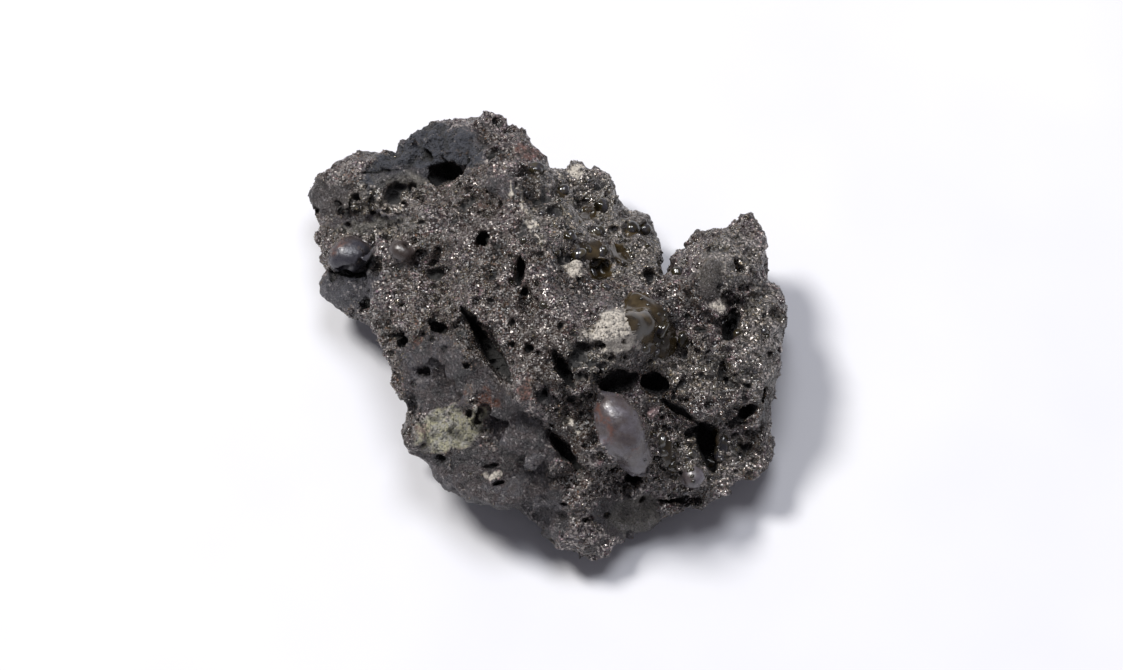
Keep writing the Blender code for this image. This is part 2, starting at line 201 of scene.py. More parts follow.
# Gas pits and hollows. Small ones of one stretch share a name.
PITS = {
    "crust_hollow": [(-13.7, 21.3, 4.6, 2.8, 0.0, 4.2)],
    "triangle_hole": [(-19.8, 19.1, 1.9, 1.4, -20.0, 1.8)],
    "deep_hole": [(-8.6, 12.4, 2.5, 2.1, 80.0, 3.4)],
    "tall_hole": [(-10.1, 17.8, 1.2, 0.8, 80.0, 1.2)],
    "cleft_hollow": [(-3.5, 5.7, 1.9, 1.6, 0.0, 2.2)],
    "back_hole": [(6.1, 19.8, 2.1, 1.3, 80.0, 1.6)],
    "back_pit": [(8.1, 13.8, 1.4, 1.4, 0.0, 1.2)],
    "notch_tip": [(15.1, 10.0, 4.2, 1.7, 82.0, 7.0)],
    "olive_hollow": [(6.5, 8.6, 2.9, 2.5, 0.0, 1.7)],
    "chalk_pits": [
        (5.6, -1.3, 1.3, 0.8, 0.0, 1.0), (4.6, -3.1, 1.3, 0.8, 10.0, 1.0), (8.1, -3.0, 1.6, 1.0, 10.0, 1.2),
        (9.4, -1.0, 0.8, 0.5, 0.0, 0.7), (3.8, -5.2, 1.4, 0.9, 0.0, 1.2), (6.0, -5.1, 1.2, 0.7, 0.0, 1.0),
        (7.8, -4.6, 0.8, 0.5, 0.0, 0.8), (5.3, 2.6, 1.2, 1.0, 0.0, 1.1), (1.4, 1.2, 0.9, 0.8, 80.0, 1.0),
        (3.4, 0.9, 0.9, 0.8, 0.0, 0.9), (3.0, -3.4, 1.3, 0.8, 0.0, 1.0),
    ],
    "shelf_pit": [(3.3, 5.1, 1.8, 0.9, 0.0, 1.2)],
    "shelf_holes": [
        (-0.7, -7.7, 2.1, 1.1, 80.0, 1.8), (1.0, -8.7, 0.9, 0.9, 0.0, 1.0), (2.7, -8.1, 1.2, 0.9, 0.0, 1.1),
        (4.3, -8.7, 0.7, 0.7, 0.0, 0.8),
    ],
    "great_hollow": [(8.4, -6.3, 5.6, 3.2, 18.0, 3.8)],
    "round_hole": [(13.4, -6.2, 3.9, 3.0, 0.0, 4.2)],
    "lobe_hole": [(23.5, 1.3, 4.8, 1.9, 78.0, 4.4)],
    "lobe_low_hole": [(25.4, -9.9, 2.6, 2.4, 0.0, 3.4)],
    "lobe_pits": [
        (20.7, -9.0, 1.4, 1.1, 0.0, 1.3), (16.1, -7.8, 0.8, 0.8, 0.0, 0.9),
        (17.4, -8.5, 1.0, 0.9, 0.0, 1.0),
        (17.9, -6.9, 0.5, 0.5, 0.0, 0.7), (20.0, -0.4, 0.5, 0.8, 0.0, 0.7),
        (20.5, -2.1, 0.6, 0.6, 0.0, 0.7),
    ],
    "lobe_dimple": [(23.1, -6.2, 1.9, 1.8, 0.0, 0.6)],
    "edge_groove": [(27.7, -7.8, 2.4, 0.7, 85.0, 0.9)],
    "low_hollow": [(10.7, -18.6, 2.4, 1.3, 0.0, 1.6)],
    "cleft_mouth": [(20.0, -12.3, 3.3, 1.9, -20.0, 3.4)],
    "foot_pits": [(7.4, -23.4, 1.2, 0.9, 0.0, 1.0), (5.3, -23.9, 1.3, 0.8, 0.0, 1.0)],
    "round_dimple": [(-9.1, -8.2, 1.8, 1.7, 0.0, 0.5)],
    "grey_hole": [(-16.4, -4.8, 2.0, 1.4, 0.0, 1.6)],
    "grey_pit": [(-10.9, -3.9, 1.2, 0.9, 0.0, 1.0)],
    "square_pit": [(-14.3, 0.9, 3.0, 1.6, 0.0, 2.4)],
    "round_pit": [(-18.7, -0.8, 2.4, 2.2, 80.0, 2.6)],
    "shell_hollow": [(-23.8, 3.9, 2.3, 2.1, 0.0, 2.4)],
    "blister_cave": [(-22.9, 8.9, 3.4, 2.2, 40.0, 2.8)],
    "ledge_pits": [
        (-25.3, 18.1, 1.3, 1.2, 0.0, 1.2), (-24.3, 19.2, 0.6, 0.6, 0.0, 0.7),
        (-20.4, 17.4, 0.9, 0.9, 0.0, 0.9),
        (-19.2, 17.4, 0.7, 0.7, 0.0, 0.8), (-25.5, 16.0, 0.7, 0.7, 0.0, 0.8),
        (-23.4, 15.9, 0.8, 0.8, 0.0, 0.8),
        (-17.4, 19.4, 0.7, 0.7, 0.0, 0.8), (-19.6, 14.8, 1.1, 0.7, 0.0, 0.9),
    ],
    "mid_pits": [
        (-15.1, 9.5, 1.2, 0.9, 80.0, 1.2), (-19.1, 3.8, 0.9, 0.7, 0.0, 0.9),
        (-6.2, -1.8, 0.8, 0.8, 0.0, 0.9),
        (-4.8, -1.2, 1.0, 0.7, 0.0, 0.9), (-2.7, -1.8, 1.2, 1.1, 0.0, 1.2),
        (-3.6, -3.1, 1.0, 0.8, 80.0, 1.0),
        (-6.1, -2.9, 0.9, 0.6, 0.0, 0.8),
    ],
}

# Narrow lens-shaped slits and grooves between two layers of the slag.
SLITS = {
    "long_slit": (-7.7, -2.0, 12.6, 2.6, -57.0, 5.4),
    "mid_slit": (1.7, -4.3, 5.8, 2.0, -62.0, 4.4),
    "low_slit": (1.6, -14.6, 6.0, 1.9, -50.0, 4.0),
    "shelf_shadow": (16.7, -9.8, 6.4, 1.2, -34.0, 2.0),
    "tall_cleft": (-3.8, 8.3, 4.6, 1.4, 85.0, 3.2),
    "glass_cleft": (20.4, -14.4, 7.8, 2.8, -74.0, 4.6),
    "dark_ledge": (23.2, -11.7, 6.0, 1.2, 6.0, 2.2),
    "lip_slit": (16.9, -21.5, 6.6, 0.8, 3.0, 2.0),
    "red_crevice": (4.6, -14.3, 2.2, 0.7, -10.0, 1.2),
    "ledge_groove": (-22.3, 21.4, 7.6, 0.45, 6.0, 0.9),
    "arc_a": (-7.5, -16.9, 2.3, 0.6, 10.0, 1.0),
    "arc_b": (-6.6, -19.2, 2.3, 0.6, 8.0, 1.0),
    "thin_slit": (-4.4, 19.4, 1.2, 0.4, 80.0, 0.9),
    "blister_fold": (-26.4, 8.0, 6.6, 0.9, -8.0, 1.4),
}

# Stretches as ellipses on the drawing plane: across, up, length, width (mm) and turn (degrees).
# Where the skin froze smooth, froze dull, or welled out as glass:
SMOOTH_SPOTS = {
    "corner_blister": (-26.1, 10.6, 5.8, 4.5, 20.0),
    "small_brown_blister": (-19.2, 10.8, 3.4, 2.8, -30.0),
    "long_blister": (9.5, -12.9, 12.2, 5.2, -64.0),
    "blister_head": (9.0, -11.9, 9.2, 5.8, -62.0),
    "lip_ball": (18.6, -18.4, 3.0, 2.8, 0.0),
}
DULL_SPOTS = {
    "shell_face": (-26.6, 6.0, 8.4, 5.2, 18.0),
    "upper_facet": (-6.5, 19.4, 4.8, 2.6, -12.0),
    "lobe_brown": (20.9, 7.6, 6.0, 2.1, 80.0),
    "low_face": (-3.6, -14.0, 10.0, 6.4, -55.0),
    "grey_face": (-6.6, -9.4, 12.0, 4.2, -62.0),
    "grey_flank": (-15.0, -5.0, 11.0, 9.0, -70.0),
    "under_flank": (-7.5, -20.0, 22.0, 10.0, -28.0),
    "foot_lobe": (10.2, -23.6, 9.0, 5.4, 0.0),
    "far_lobe": (-29.6, 18.2, 4.6, 7.0, 80.0),
    "ledge_top": (-19.5, 20.8, 9.0, 2.8, 6.0),
    "ledge_band": (-24.0, 14.9, 11.0, 2.2, 4.0),
}
GLASS_SPOTS = {
    "glass_hump": (12.9, 1.4, 9.6, 5.0, -56.0),
    "glass_bead_a": (1.7, 18.9, 2.0, 1.5, 60.0),
    "glass_bead_b": (6.8, 17.0, 2.2, 1.8, -40.0),
    "glass_bead_c": (6.1, 13.5, 2.2, 1.7, 10.0),
    "glass_bead_d": (10.7, 14.0, 2.0, 1.6, 70.0),
    "glass_bead_e": (12.4, 13.9, 1.7, 1.5, 0.0),
    "glass_bead_f": (3.5, 10.5, 2.0, 1.4, 30.0),
    "dark_bubble": (2.6, 12.9, 1.8, 1.7, 0.0),
    "olive_hollow": (6.5, 8.6, 3.4, 3.0, 0.0),
    "bright_bead": (-0.9, 3.8, 1.1, 1.0, 0.0),
    "cleft_wall": (21.4, -14.6, 5.6, 1.2, 84.0),
    "streak_bank": (15.2, -15.2, 5.6, 1.8, -72.0),
    "back_gloss_a": (4.8, 15.8, 3.0, 1.8, 30.0),
    "olive_rim": (5.0, 10.9, 4.4, 2.4, 20.0),
    "back_gloss_b": (9.2, 10.4, 3.6, 2.2, -40.0),
}
# Where pale stone shows through, and where the slag is pink, bloomed, brown, olive-tinted with painted
# light, or rusty:
CHALK_SPOTS = {
    "chalk_hump": (9.4, 1.5, 5.2, 3.0, -34.0),
    "chalk_shoulder": (6.9, 0.4, 6.0, 2.8, 12.0),
    "chalk_foot": (8.8, -0.8, 5.2, 2.0, -8.0),
    "crest_rim": (-2.9, 15.4, 9.6, 0.5, -64.0),
    "beige_pebble": (3.3, 8.8, 2.5, 1.9, 20.0),
    "beige_patch": (3.1, 21.4, 2.2, 1.2, 10.0),
    "lobe_beige": (22.1, 3.9, 2.2, 2.6, 0.0),
    "white_crystal": (2.6, -11.7, 1.6, 1.3, 30.0),
    "pale_below_face": (-6.9, -18.0, 2.4, 1.2, 20.0),
}
PINK_SPOTS = {
    "pink_grain_a": (10.0, -16.2, 1.1, 0.9, 0.0),
    "pink_grain_b": (13.0, -10.4, 2.0, 1.4, 20.0),
    "pink_grain_c": (6.4, -16.5, 1.2, 1.0, 0.0),
    "lobe_pink": (23.4, -3.0, 1.2, 1.1, 0.0),
}
SULPHUR_SPOTS = {
    "edge_bloom": (-13.0, -12.2, 8.6, 5.4, 12.0),
    "bloom_tail": (-9.6, -10.6, 4.0, 2.4, 30.0),
}
BROWN_SPOTS = {
    "corner_blister": (-26.1, 10.6, 6.2, 5.0, 20.0),
    "small_brown_blister": (-19.2, 10.8, 4.0, 3.4, -30.0),
    "lobe_brown": (20.9, 7.6, 6.0, 2.1, 80.0),
    "far_lobe": (-29.6, 18.2, 4.6, 7.0, 80.0),
    "slit_bank": (-7.2, -3.6, 9.0, 2.6, -60.0),
    "mid_bank": (-0.8, -1.8, 13.0, 6.5, -62.0),
    "low_bank": (3.6, -13.4, 8.0, 5.0, -50.0),
    "valley_floor": (-3.0, 4.6, 5.0, 3.0, 80.0),
    "hole_bank": (-9.4, 13.6, 7.0, 5.0, 70.0),
    "olive_lobe": (12.0, 14.0, 4.8, 4.0, 0.0),
    "glass_bank": (5.2, 11.0, 5.0, 4.0, 20.0),
}
# Olive stretches: their own olive-grey tint, with painted light that lifts the stretches lying in shade.
OLIVE_SPOTS = {
    "back_slope": (7.0, 14.6, 21.0, 11.0, -42.0),
    "lobe_side": (27.2, -1.0, 15.0, 6.0, 86.0),
    "lobe_top": (23.4, 9.4, 9.0, 7.0, 40.0),
    "lobe_front": (18.6, -4.6, 13.0, 6.0, -14.0),
    "pitted_band": (6.0, -2.8, 9.0, 4.6, -8.0),
    "spine": (-2.4, 15.4, 8.0, 1.8, -62.0),
    "ledge": (-21.0, 18.6, 12.0, 4.6, 8.0),
    "blister_ledge": (-22.0, 13.8, 13.0, 2.4, 4.0),
    "foot_lobe": (11.0, -23.2, 6.5, 5.4, 0.0),
    "low_tier": (20.0, -16.0, 13.0, 8.0, 0.0),
}
RUST_SPOTS = {
    "dimple_rust": (-8.2, -8.8, 3.0, 2.4, 0.0),
    "small_rust_a": (-8.5, -6.9, 1.2, 1.1, 0.0),
    "small_rust_b": (-10.8, -7.3, 1.0, 0.9, 0.0),
    "edge_rust": (-16.6, -12.3, 2.0, 1.6, 0.0),
    "slit_rust": (-3.4, -6.9, 1.4, 1.7, 0.0),
    "blister_rust": (11.2, -15.0, 1.5, 1.1, 0.0),
    "blister_rust_rim": (7.0, -11.4, 4.6, 1.2, -70.0),
    "corner_rust": (-27.6, 11.6, 3.0, 0.8, 50.0),
    "high_rust": (-8.9, 17.3, 0.9, 1.7, 0.0),
    "back_rust": (-2.8, 24.0, 3.4, 1.8, -20.0),
    "pit_rust": (-17.2, -0.8, 1.3, 1.7, 0.0),
}
# Stretches that hold more small gas pits than the rest.
PIT_CROWDS = {
    "shelf": (1.6, -2.8, 18.0, 11.0, -34.0),
    "lobe_front": (20.0, -5.4, 14.0, 6.0, -12.0),
    "low_bank": (4.0, -12.0, 9.0, 6.0, -50.0),
}
# The cold corner with its matt crust:
CRUST_SPOTS = {
    "corner_blister": (-25.7, 10.1, 5.6, 4.0, 20.0),
    "shell_face": (-26.6, 6.0, 8.6, 5.4, 18.0),
    "cold_corner": (-14.4, 24.2, 11.0, 7.0, 0.0),
    "cold_edge": (-21.5, 21.8, 8.0, 4.0, 30.0),
}

ZONES = {
    "calm": SMOOTH_SPOTS,
    "dull": DULL_SPOTS,
    "glass": GLASS_SPOTS,
    "chalk": CHALK_SPOTS,
    "pink": PINK_SPOTS,
    "sulphur": SULPHUR_SPOTS,
    "brown": BROWN_SPOTS,
    "olive": OLIVE_SPOTS,
    "rust": RUST_SPOTS,
    "crust": CRUST_SPOTS,
}


# ---- The drawing plane and its zones ----


def plane_place(points):
    """(across, up) on the drawing plane of world points in millimetres."""
    across = points[..., 0] - CENTRE_SHIFT[0]
    up = (points[..., 1] - CENTRE_SHIFT[1]) * LOOK_SIN + points[..., 2] * LOOK_COS
    return across, up


def plane_point(across, up):
    """The world point, in millimetres, of a place on the drawing plane."""
    return np.array((CENTRE_SHIFT[0] + across, CENTRE_SHIFT[1], 0.0)) + up * UP


def plane_direction(turn_deg):
    """The world direction that lies on the drawing plane at this turn from across."""
    turn = math.radians(turn_deg)
    return ACROSS * math.cos(turn) + UP * math.sin(turn)


def unit(vector):
    """The vector at length 1."""
    return vector / np.linalg.norm(vector)


def smooth_step(low, high, value):
    """0 up to low, 1 from high on, and a soft rise between them."""
    part = np.clip((value - low) / (high - low), 0.0, 1.0)
    return part * part * (3.0 - 2.0 * part)


def spots_weight(spots, across, up, edge=0.3):
    """1 inside any of the spots' ellipses, 0 outside, soft over the given share of their radius."""
    found = np.zeros(np.shape(across), np.float32)
    for middle_across, middle_up, length, width, turn in spots.values():
        cos_turn, sin_turn = math.cos(math.radians(turn)), math.sin(math.radians(turn))
        along = (across - middle_across) * cos_turn + (up - middle_up) * sin_turn
        aside = (up - middle_up) * cos_turn - (across - middle_across) * sin_turn
        radius = np.sqrt((2 * along / length) ** 2 + (2 * aside / width) ** 2)
        np.maximum(found, 1.0 - smooth_step(1.0 - edge, 1.0 + edge, radius), out=found)
    return found


# ---- Meshes ----


def mesh_object(name, points, faces):
    """A new object from points in millimetres and faces that all have the same number of corners."""
    corners = faces.shape[1]
    mesh = bpy.data.meshes.new(name)
    mesh.vertices.add(len(points))
    mesh.vertices.foreach_set("co", (np.asarray(points, np.float32) * MM).ravel())
    mesh.loops.add(faces.size)
    mesh.loops.foreach_set("vertex_index", faces.astype(np.int32).ravel())
    mesh.polygons.add(len(faces))
    mesh.polygons.foreach_set("loop_start", np.arange(0, faces.size, corners, dtype=np.int32))
    mesh.update(calc_edges=True)
    thing = bpy.data.objects.new(name, mesh)
    bpy.context.scene.collection.objects.link(thing)
    return thing


def mesh_points(mesh):
    """The mesh's points, in millimetres."""
    points = np.empty(len(mesh.vertices) * 3, np.float32)
    mesh.vertices.foreach_get("co", points)
    return points.reshape(-1, 3) / MM


def mesh_triangles(mesh):
    """The three point numbers of each triangle."""
    mesh.calc_loop_triangles()
    triangles = np.empty(len(mesh.loop_triangles) * 3, np.int32)
    mesh.loop_triangles.foreach_get("vertices", triangles)
    return triangles.reshape(-1, 3)


def write_weight(mesh, name, values):
    """Keeps one value for each point of the mesh."""
    layer = mesh.attributes.new(name, "FLOAT", "POINT")
    layer.data.foreach_set("value", np.asarray(values, np.float32))


def read_weight(mesh, name):
    """The kept value of each point."""
    values = np.empty(len(mesh.vertices), np.float32)
    mesh.attributes[name].data.foreach_get("value", values)
    return values


def thin_out(thing, most):
    """Collapses the mesh to at most this many triangles and keeps the result."""
    thin = thing.modifiers.new("thin_out", "DECIMATE")
    thin.ratio = min(1.0, most / len(mesh_triangles(thing.data)))
    thin.use_collapse_triangulate = True
    graph = bpy.context.evaluated_depsgraph_get()
    baked = bpy.data.meshes.new_from_object(thing.evaluated_get(graph), depsgraph=graph)
    thing.modifiers.clear()
    thing.data = baked


def smooth_shaded(mesh):
    """Rounds the look of every face, so that none shows as a flat facet."""
    mesh.polygons.foreach_set("use_smooth", np.ones(len(mesh.polygons), bool))


# ---- Distance field: the slag as a grid of distances to its skin, to work holes and lumps into ----

# Room round the solid, reach of the distances kept, and the softening that hides its facets (mm).
FIELD_MARGIN = 3.0
FIELD_BAND = 3.2
FACET_BLUR = 0.45
NOISE_SEED = 41
# Height above the drawing plane from which the viewer's lines of sight start, and where they end (mm).
SIGHT_START = 45.0
SIGHT_END = -30.0


def along_axis(axis):
    """The shape that lays a row of values along one axis of a grid."""
    return [-1 if i == axis else 1 for i in range(3)]


def spread_axis(values, axis, fine, spacing, start):
    """Spreads coarse values along one axis to a fine row, as a cubic B-spline."""
    place = ((np.arange(fine) + start) / spacing).astype(np.float32)
    first = np.floor(place).astype(int)
    part = place - first
    cubic = (
        (1 - part) ** 3 / 6,
        (3 * part**3 - 6 * part**2 + 4) / 6,
        (-3 * part**3 + 3 * part**2 + 3 * part + 1) / 6,
        part**3 / 6,
    )
    shape = along_axis(axis)
    return sum(np.take(values, first + k, axis=axis) * cubic[k].reshape(shape) for k in range(4))


def grid_noise(field, grain, seed):
    """Smooth random values with a spread of 1 on the field's grid, in lumps about grain (mm) across."""
    dice = np.random.default_rng(seed)
    spacing = grain / field.cell / 2
    values = dice.standard_normal([int(n / spacing) + 6 for n in field.shape]).astype(np.float32)
    for axis in range(3):
        values = spread_axis(values, axis, field.shape[axis], spacing, dice.uniform(0, spacing))
    return values / values.std()


class Field:
    """Distances to the skin in millimetres on a regular grid, negative inside the slag."""

    def __init__(self, node, cell):
        points = mesh_points(node.data)
        self.cell = cell
        self.low = points.min(axis=0) - FIELD_MARGIN
        self.shape = tuple(int(n) for n in np.ceil((np.ptp(points, axis=0) + 2 * FIELD_MARGIN) / cell))
        solid = openvdb.FloatGrid.createLevelSetFromPolygons(
            ((points - self.low) / cell).astype(np.float32),
            mesh_triangles(node.data).astype(np.uint32),
            transform=openvdb.createLinearTransform(1.0),
            halfWidth=FIELD_BAND / cell,
        )
        self.values = np.zeros(self.shape, np.float32)
        solid.copyToArray(self.values)
        self.values *= cell

    def axes(self, part=None):
        """The grid's x, y and z in millimetres, shaped to spread over a block of it."""
        part = part or tuple(slice(0, n) for n in self.shape)
        rows = [self.low[i] + self.cell * np.arange(part[i].start, part[i].stop) for i in range(3)]
        return tuple(row.astype(np.float32).reshape(along_axis(axis)) for axis, row in enumerate(rows))

    def block(self, middle, reach):
        """The slices of the grid within reach of a point."""
        first = np.floor((middle - reach - self.low) / self.cell).astype(int)
        last = np.ceil((middle + reach - self.low) / self.cell).astype(int) + 1
        first, last = np.clip(first, 0, self.shape), np.clip(last, 0, self.shape)
        return tuple(slice(a, b) for a, b in zip(first, last))

    def blurred(self, radius):
        """The distances, softened over about radius millimetres."""
        found = self.values.copy()
        for _ in range(max(1, round(2 * (radius / self.cell) ** 2))):
            for axis in range(3):
                values = np.moveaxis(found, axis, 0)
                middle = values[1:-1] * 0.5 + (values[:-2] + values[2:]) * 0.25
                values[1:-1] = middle
        return found

    def sample(self, values, points):
        """Grid values at each point, from the eight grid points round it."""
        place = (np.asarray(points) - self.low) / self.cell
        first = np.clip(np.floor(place).astype(int), 0, np.array(self.shape) - 2)
        part = np.clip(place - first, 0.0, 1.0)
        found = 0.0
        for corner in np.ndindex(2, 2, 2):
            weight = np.prod(np.where(corner, part, 1 - part), axis=-1)
            found = found + weight * values[tuple((first + corner).T)]
        return found

    def at(self, points):
        """The distance to the skin at each point."""
        return self.sample(self.values, points)

    def slope(self, points):
        """Unit vector out of the slag at each point."""
        step = self.cell
        sides = [self.at(points + step * axis) - self.at(points - step * axis) for axis in np.eye(3)]
        out = np.stack(sides, axis=-1)
        return out / np.maximum(np.linalg.norm(out, axis=-1, keepdims=True), 1e-9)

    def skin_under(self, across, up):
        """The skin that the viewer sees at this place on the drawing plane, or the nearest to it."""
        foot = plane_point(across, up)
        steps = np.arange(SIGHT_START, SIGHT_END, -self.cell / 2)
        distances = self.at(foot + steps[:, None] * TOWARDS)
        first = int(np.argmax(distances < 0)) if (distances < 0).any() else int(np.argmin(distances))
        return foot + steps[first] * TOWARDS

    def carve(self, part, hollow, rounding):
        """Takes a hollow out of a block, with a slightly rounded lip."""
        old = self.values[part]
        away = -hollow
        blend = np.clip(0.5 + 0.5 * (old - away) / rounding, 0.0, 1.0)
        self.values[part] = away + (old - away) * blend + rounding * blend * (1 - blend)

    def build_up(self, part, lump, rounding):
        """Adds a lump to a block, with a fillet where it meets the skin."""
        old = self.values[part]
        blend = np.clip(0.5 + 0.5 * (lump - old) / rounding, 0.0, 1.0)
        self.values[part] = lump + (old - lump) * blend - rounding * blend * (1 - blend)

    def surface(self):
        """(points, quads) of the skin, in millimetres."""
        grid = openvdb.FloatGrid(FIELD_BAND)
        grid.copyFromArray(self.values)
        points, quads = grid.convertToQuads(0.0)
        return self.low + points * self.cell, quads.astype(np.int64)


# ---- Marks worked into the field ----

# A mark longer than LONG_MARK leans with the skin that lies this share of the way to its two ends.
LONG_MARK = 4.4
LONG_MARK_GRIP = 0.7
# Grain and depth (mm) of the warp that bends marks, and the share of it that each kind of mark takes.
WARP_GRAIN = 1.3
WARP_DEPTH = 0.16
LUMP_WARP = 0.3
HOLE_WARP = 0.7
WIDE_PIT_WARP = 1.4
WIDE_PIT = 1.6
# Fillet of a lump as a share of its width, and rounding (mm) of the lips of scoops, holes and small pits.
LUMP_FILLET = 0.25
SCOOP_LIP = 0.25
HOLE_LIP = 0.06
SMALL_PIT_LIP = 0.03
# How far past a mark's own reach (mm) its block of the grid goes.
HOLE_MARGIN = 1.0
LUMP_MARGIN = 1.5
SMALL_PIT_MARGIN = 0.4
# Width (mm) of small pits: least, share that varies, how fast wide ones get rare, and most.
PIT_LEAST, PIT_VARIES, PIT_RARITY, PIT_MOST = 0.65, 0.75, 3.2, 2.2
# Least and most radii of a small pit, in halves of its width: along, across and down.
PIT_SHAPES = ((0.8, 0.7, 1.3), (1.2, 1.0, 2.0))
# Share of the small pits that is kept everywhere, and the share that only the crowds keep as well.
PITS_OPEN, PITS_CROWDED = 0.45, 0.55
# Values of the patch noise between which small pits get common, and the share that dull faces go without.
PIT_PATCHES = (-1.2, 1.0)
DULL_FREE_OF_PITS = 0.85
# A slope that faces the viewer more than this belongs to the show side.
SHOWING = 0.1


def mark_axes(field, across, up, length, turn_deg):
    """Middle, long, short and depth axes of a mark. A long one leans with the skin under its two ends."""
    turn = math.radians(turn_deg)
    long_axis = plane_direction(turn_deg)
    middle = field.skin_under(across, up)
    if length > LONG_MARK:
        reach = LONG_MARK_GRIP * length / 2
        step = (reach * math.cos(turn), reach * math.sin(turn))
        one_end = field.skin_under(across + step[0], up + step[1])
        other_end = field.skin_under(across - step[0], up - step[1])
        flat_axis, long_axis = long_axis, unit(one_end - other_end)
        length = length / long_axis.dot(flat_axis)
        middle = (one_end + other_end + middle) / 3
    short_axis = unit(np.cross(TOWARDS, long_axis))
    return middle, long_axis, short_axis, np.cross(long_axis, short_axis), length


class Warp:
    """Bends the places that marks are worked out at, so that no hole or lump is a perfect shape."""

    def __init__(self, field):
        self.parts = [grid_noise(field, WARP_GRAIN, NOISE_SEED + 10 + i) for i in range(3)]

    def offsets(self, field, part, middle, share):
        """The block's places relative to a middle, bent by a share of the warp."""
        rows = enumerate(field.axes(part))
        return [row - middle[axis] + share * WARP_DEPTH * self.parts[axis][part] for axis, row in rows]


def along(offsets, axis):
    """How far each place lies along an axis."""
    return offsets[0] * axis[0] + offsets[1] * axis[1] + offsets[2] * axis[2]


def ellipsoid(offsets, axes, radii):
    """Roughly the distance to an ellipsoid's surface, negative inside it."""
    near, steep = 0.0, 0.0
    for axis, radius in zip(axes, radii):
        place = along(offsets, axis)
        near = near + (place / radius) ** 2
        steep = steep + (place / radius**2) ** 2
    near = np.sqrt(near)
    return near * (near - 1.0) / np.maximum(np.sqrt(steep), 1e-6)


def lens_slit(offsets, axes, length, width, depth):
    """Roughly the distance to a deep slit whose mouth is a pointed lens."""
    run, side, deep = (along(offsets, axis) for axis in axes)
    half, reach = width / 2, length / 2
    bow = (reach**2 - half**2) / (2 * half)
    narrowed = np.abs(side) * (1.0 + 0.5 * np.clip(-deep / depth, 0, 1))
    mouth = np.sqrt(run**2 + (narrowed + bow) ** 2) - (bow + half)
    return np.maximum(mouth, np.abs(deep) - depth)


def scoop_out(field):
    """Takes out the broad shallow hollows whose rims are the ledges of the show side."""
    for across, up, length, width, turn, depth in SCOOPS.values():
        middle, *axes, length = mark_axes(field, across, up, length, turn)
        part = field.block(middle, length / 2 + HOLE_MARGIN)
        offsets = [row - middle[axis] for axis, row in enumerate(field.axes(part))]
        field.carve(part, ellipsoid(offsets, axes, (length / 2, width / 2, depth)), SCOOP_LIP)


def work_in_marks(field, warp):
    """Adds the blisters and lumps, then takes out the pits and slits, all at their own places."""
    for across, up, length, width, turn, rise in [*LUMPS.values(), *BLISTERS.values()]:
        middle, *axes, length = mark_axes(field, across, up, length, turn)
        middle = middle - TOWARDS * (width / 2 - rise)
        part = field.block(middle, length / 2 + LUMP_MARGIN)
        lump = ellipsoid(
            warp.offsets(field, part, middle, LUMP_WARP), axes, (length / 2, width / 2, width / 2)
        )
        field.build_up(part, lump, LUMP_FILLET * width)
    pits = [pit for family in PITS.values() for pit in family]
    holes = [
        (is_slit, width, depth, mark_axes(field, across, up, length, turn))
        for is_slit, marks in ((False, pits), (True, SLITS.values()))
        for across, up, length, width, turn, depth in marks
    ]
    for is_slit, width, depth, (middle, *axes, length) in holes:
        part = field.block(middle, max(length / 2, depth) + HOLE_MARGIN)
        share = HOLE_WARP if is_slit or width <= WIDE_PIT else WIDE_PIT_WARP
        offsets = warp.offsets(field, part, middle, share)
        if is_slit:
            hollow = lens_slit(offsets, axes, length, width, depth)
        else:
            hollow = ellipsoid(offsets, axes, (length / 2, width / 2, depth))
        field.carve(part, hollow, HOLE_LIP)


def scatter_on_skin(field, dice, count):
    """Random points of the skin: grid points near it, moved onto it."""
    near = np.argwhere(np.abs(field.values) < field.cell)
    picked = near[dice.integers(0, len(near), count)] + dice.uniform(-0.5, 0.5, (count, 3))
    points = field.low + picked * field.cell
    return points - field.at(points)[:, None] * field.slope(points)


def work_in_small_pits(field, base, warp, tries):
    """Round gas pits of many sizes. Smooth and glassy stretches keep few of them."""
    dice = np.random.default_rng(NOISE_SEED + 1)
    points = scatter_on_skin(field, dice, tries)
    place = plane_place(points)
    outward = field.slope(points)
    showing = outward @ TOWARDS > SHOWING
    calm = np.maximum.reduce([
        spots_weight(SMOOTH_SPOTS, *place),
        spots_weight(GLASS_SPOTS, *place),
        DULL_FREE_OF_PITS * spots_weight({**DULL_SPOTS, **CHALK_SPOTS}, *place),
        spots_weight(SULPHUR_SPOTS, *place),
    ])
    calm = np.where(showing, calm, 0.0)
    crowded = PITS_OPEN + PITS_CROWDED * spots_weight(PIT_CROWDS, *place) * showing
    patchy = smooth_step(*PIT_PATCHES, field.sample(base.patches, points))
    keep = dice.uniform(size=tries) < (1.0 - calm) * crowded * patchy
    widths = np.minimum(PIT_LEAST + PIT_VARIES * dice.pareto(PIT_RARITY, tries), PIT_MOST)
    for point, deep_axis, width in zip(points[keep], outward[keep], widths[keep]):
        side_axis = unit(np.cross(deep_axis, dice.standard_normal(3)))
        axes = (side_axis, np.cross(deep_axis, side_axis), deep_axis)
        radii = width / 2 * dice.uniform(*PIT_SHAPES)
        part = field.block(point, width + SMALL_PIT_MARGIN)
        offsets = warp.offsets(field, part, point, LUMP_WARP)
        field.carve(part, ellipsoid(offsets, axes, radii), SMALL_PIT_LIP)




# ---- Skin: the field roughened, carved, meshed and painted with its zones ----

# Size of the lumps of each noise in mm, how far it moves the skin next to the rest of its group,
# which of the two depths that is a share of, its kind, and the stretches that it works on.
SKIN_NOISE = [
    (7.0, 0.9, "lump_depth", "round", "everywhere"),
    (3.2, 1.15, "lump_depth", "ridged", "rough"),
    (1.5, 1.5, "grit_depth", "ridged", "rough"),
    (0.8, 0.8, "grit_depth", "round", "rough"),
    (2.5, 1.8, "lump_depth", "billow", "crust"),
    (1.1, 3.4, "grit_depth", "billow", "crust"),
]
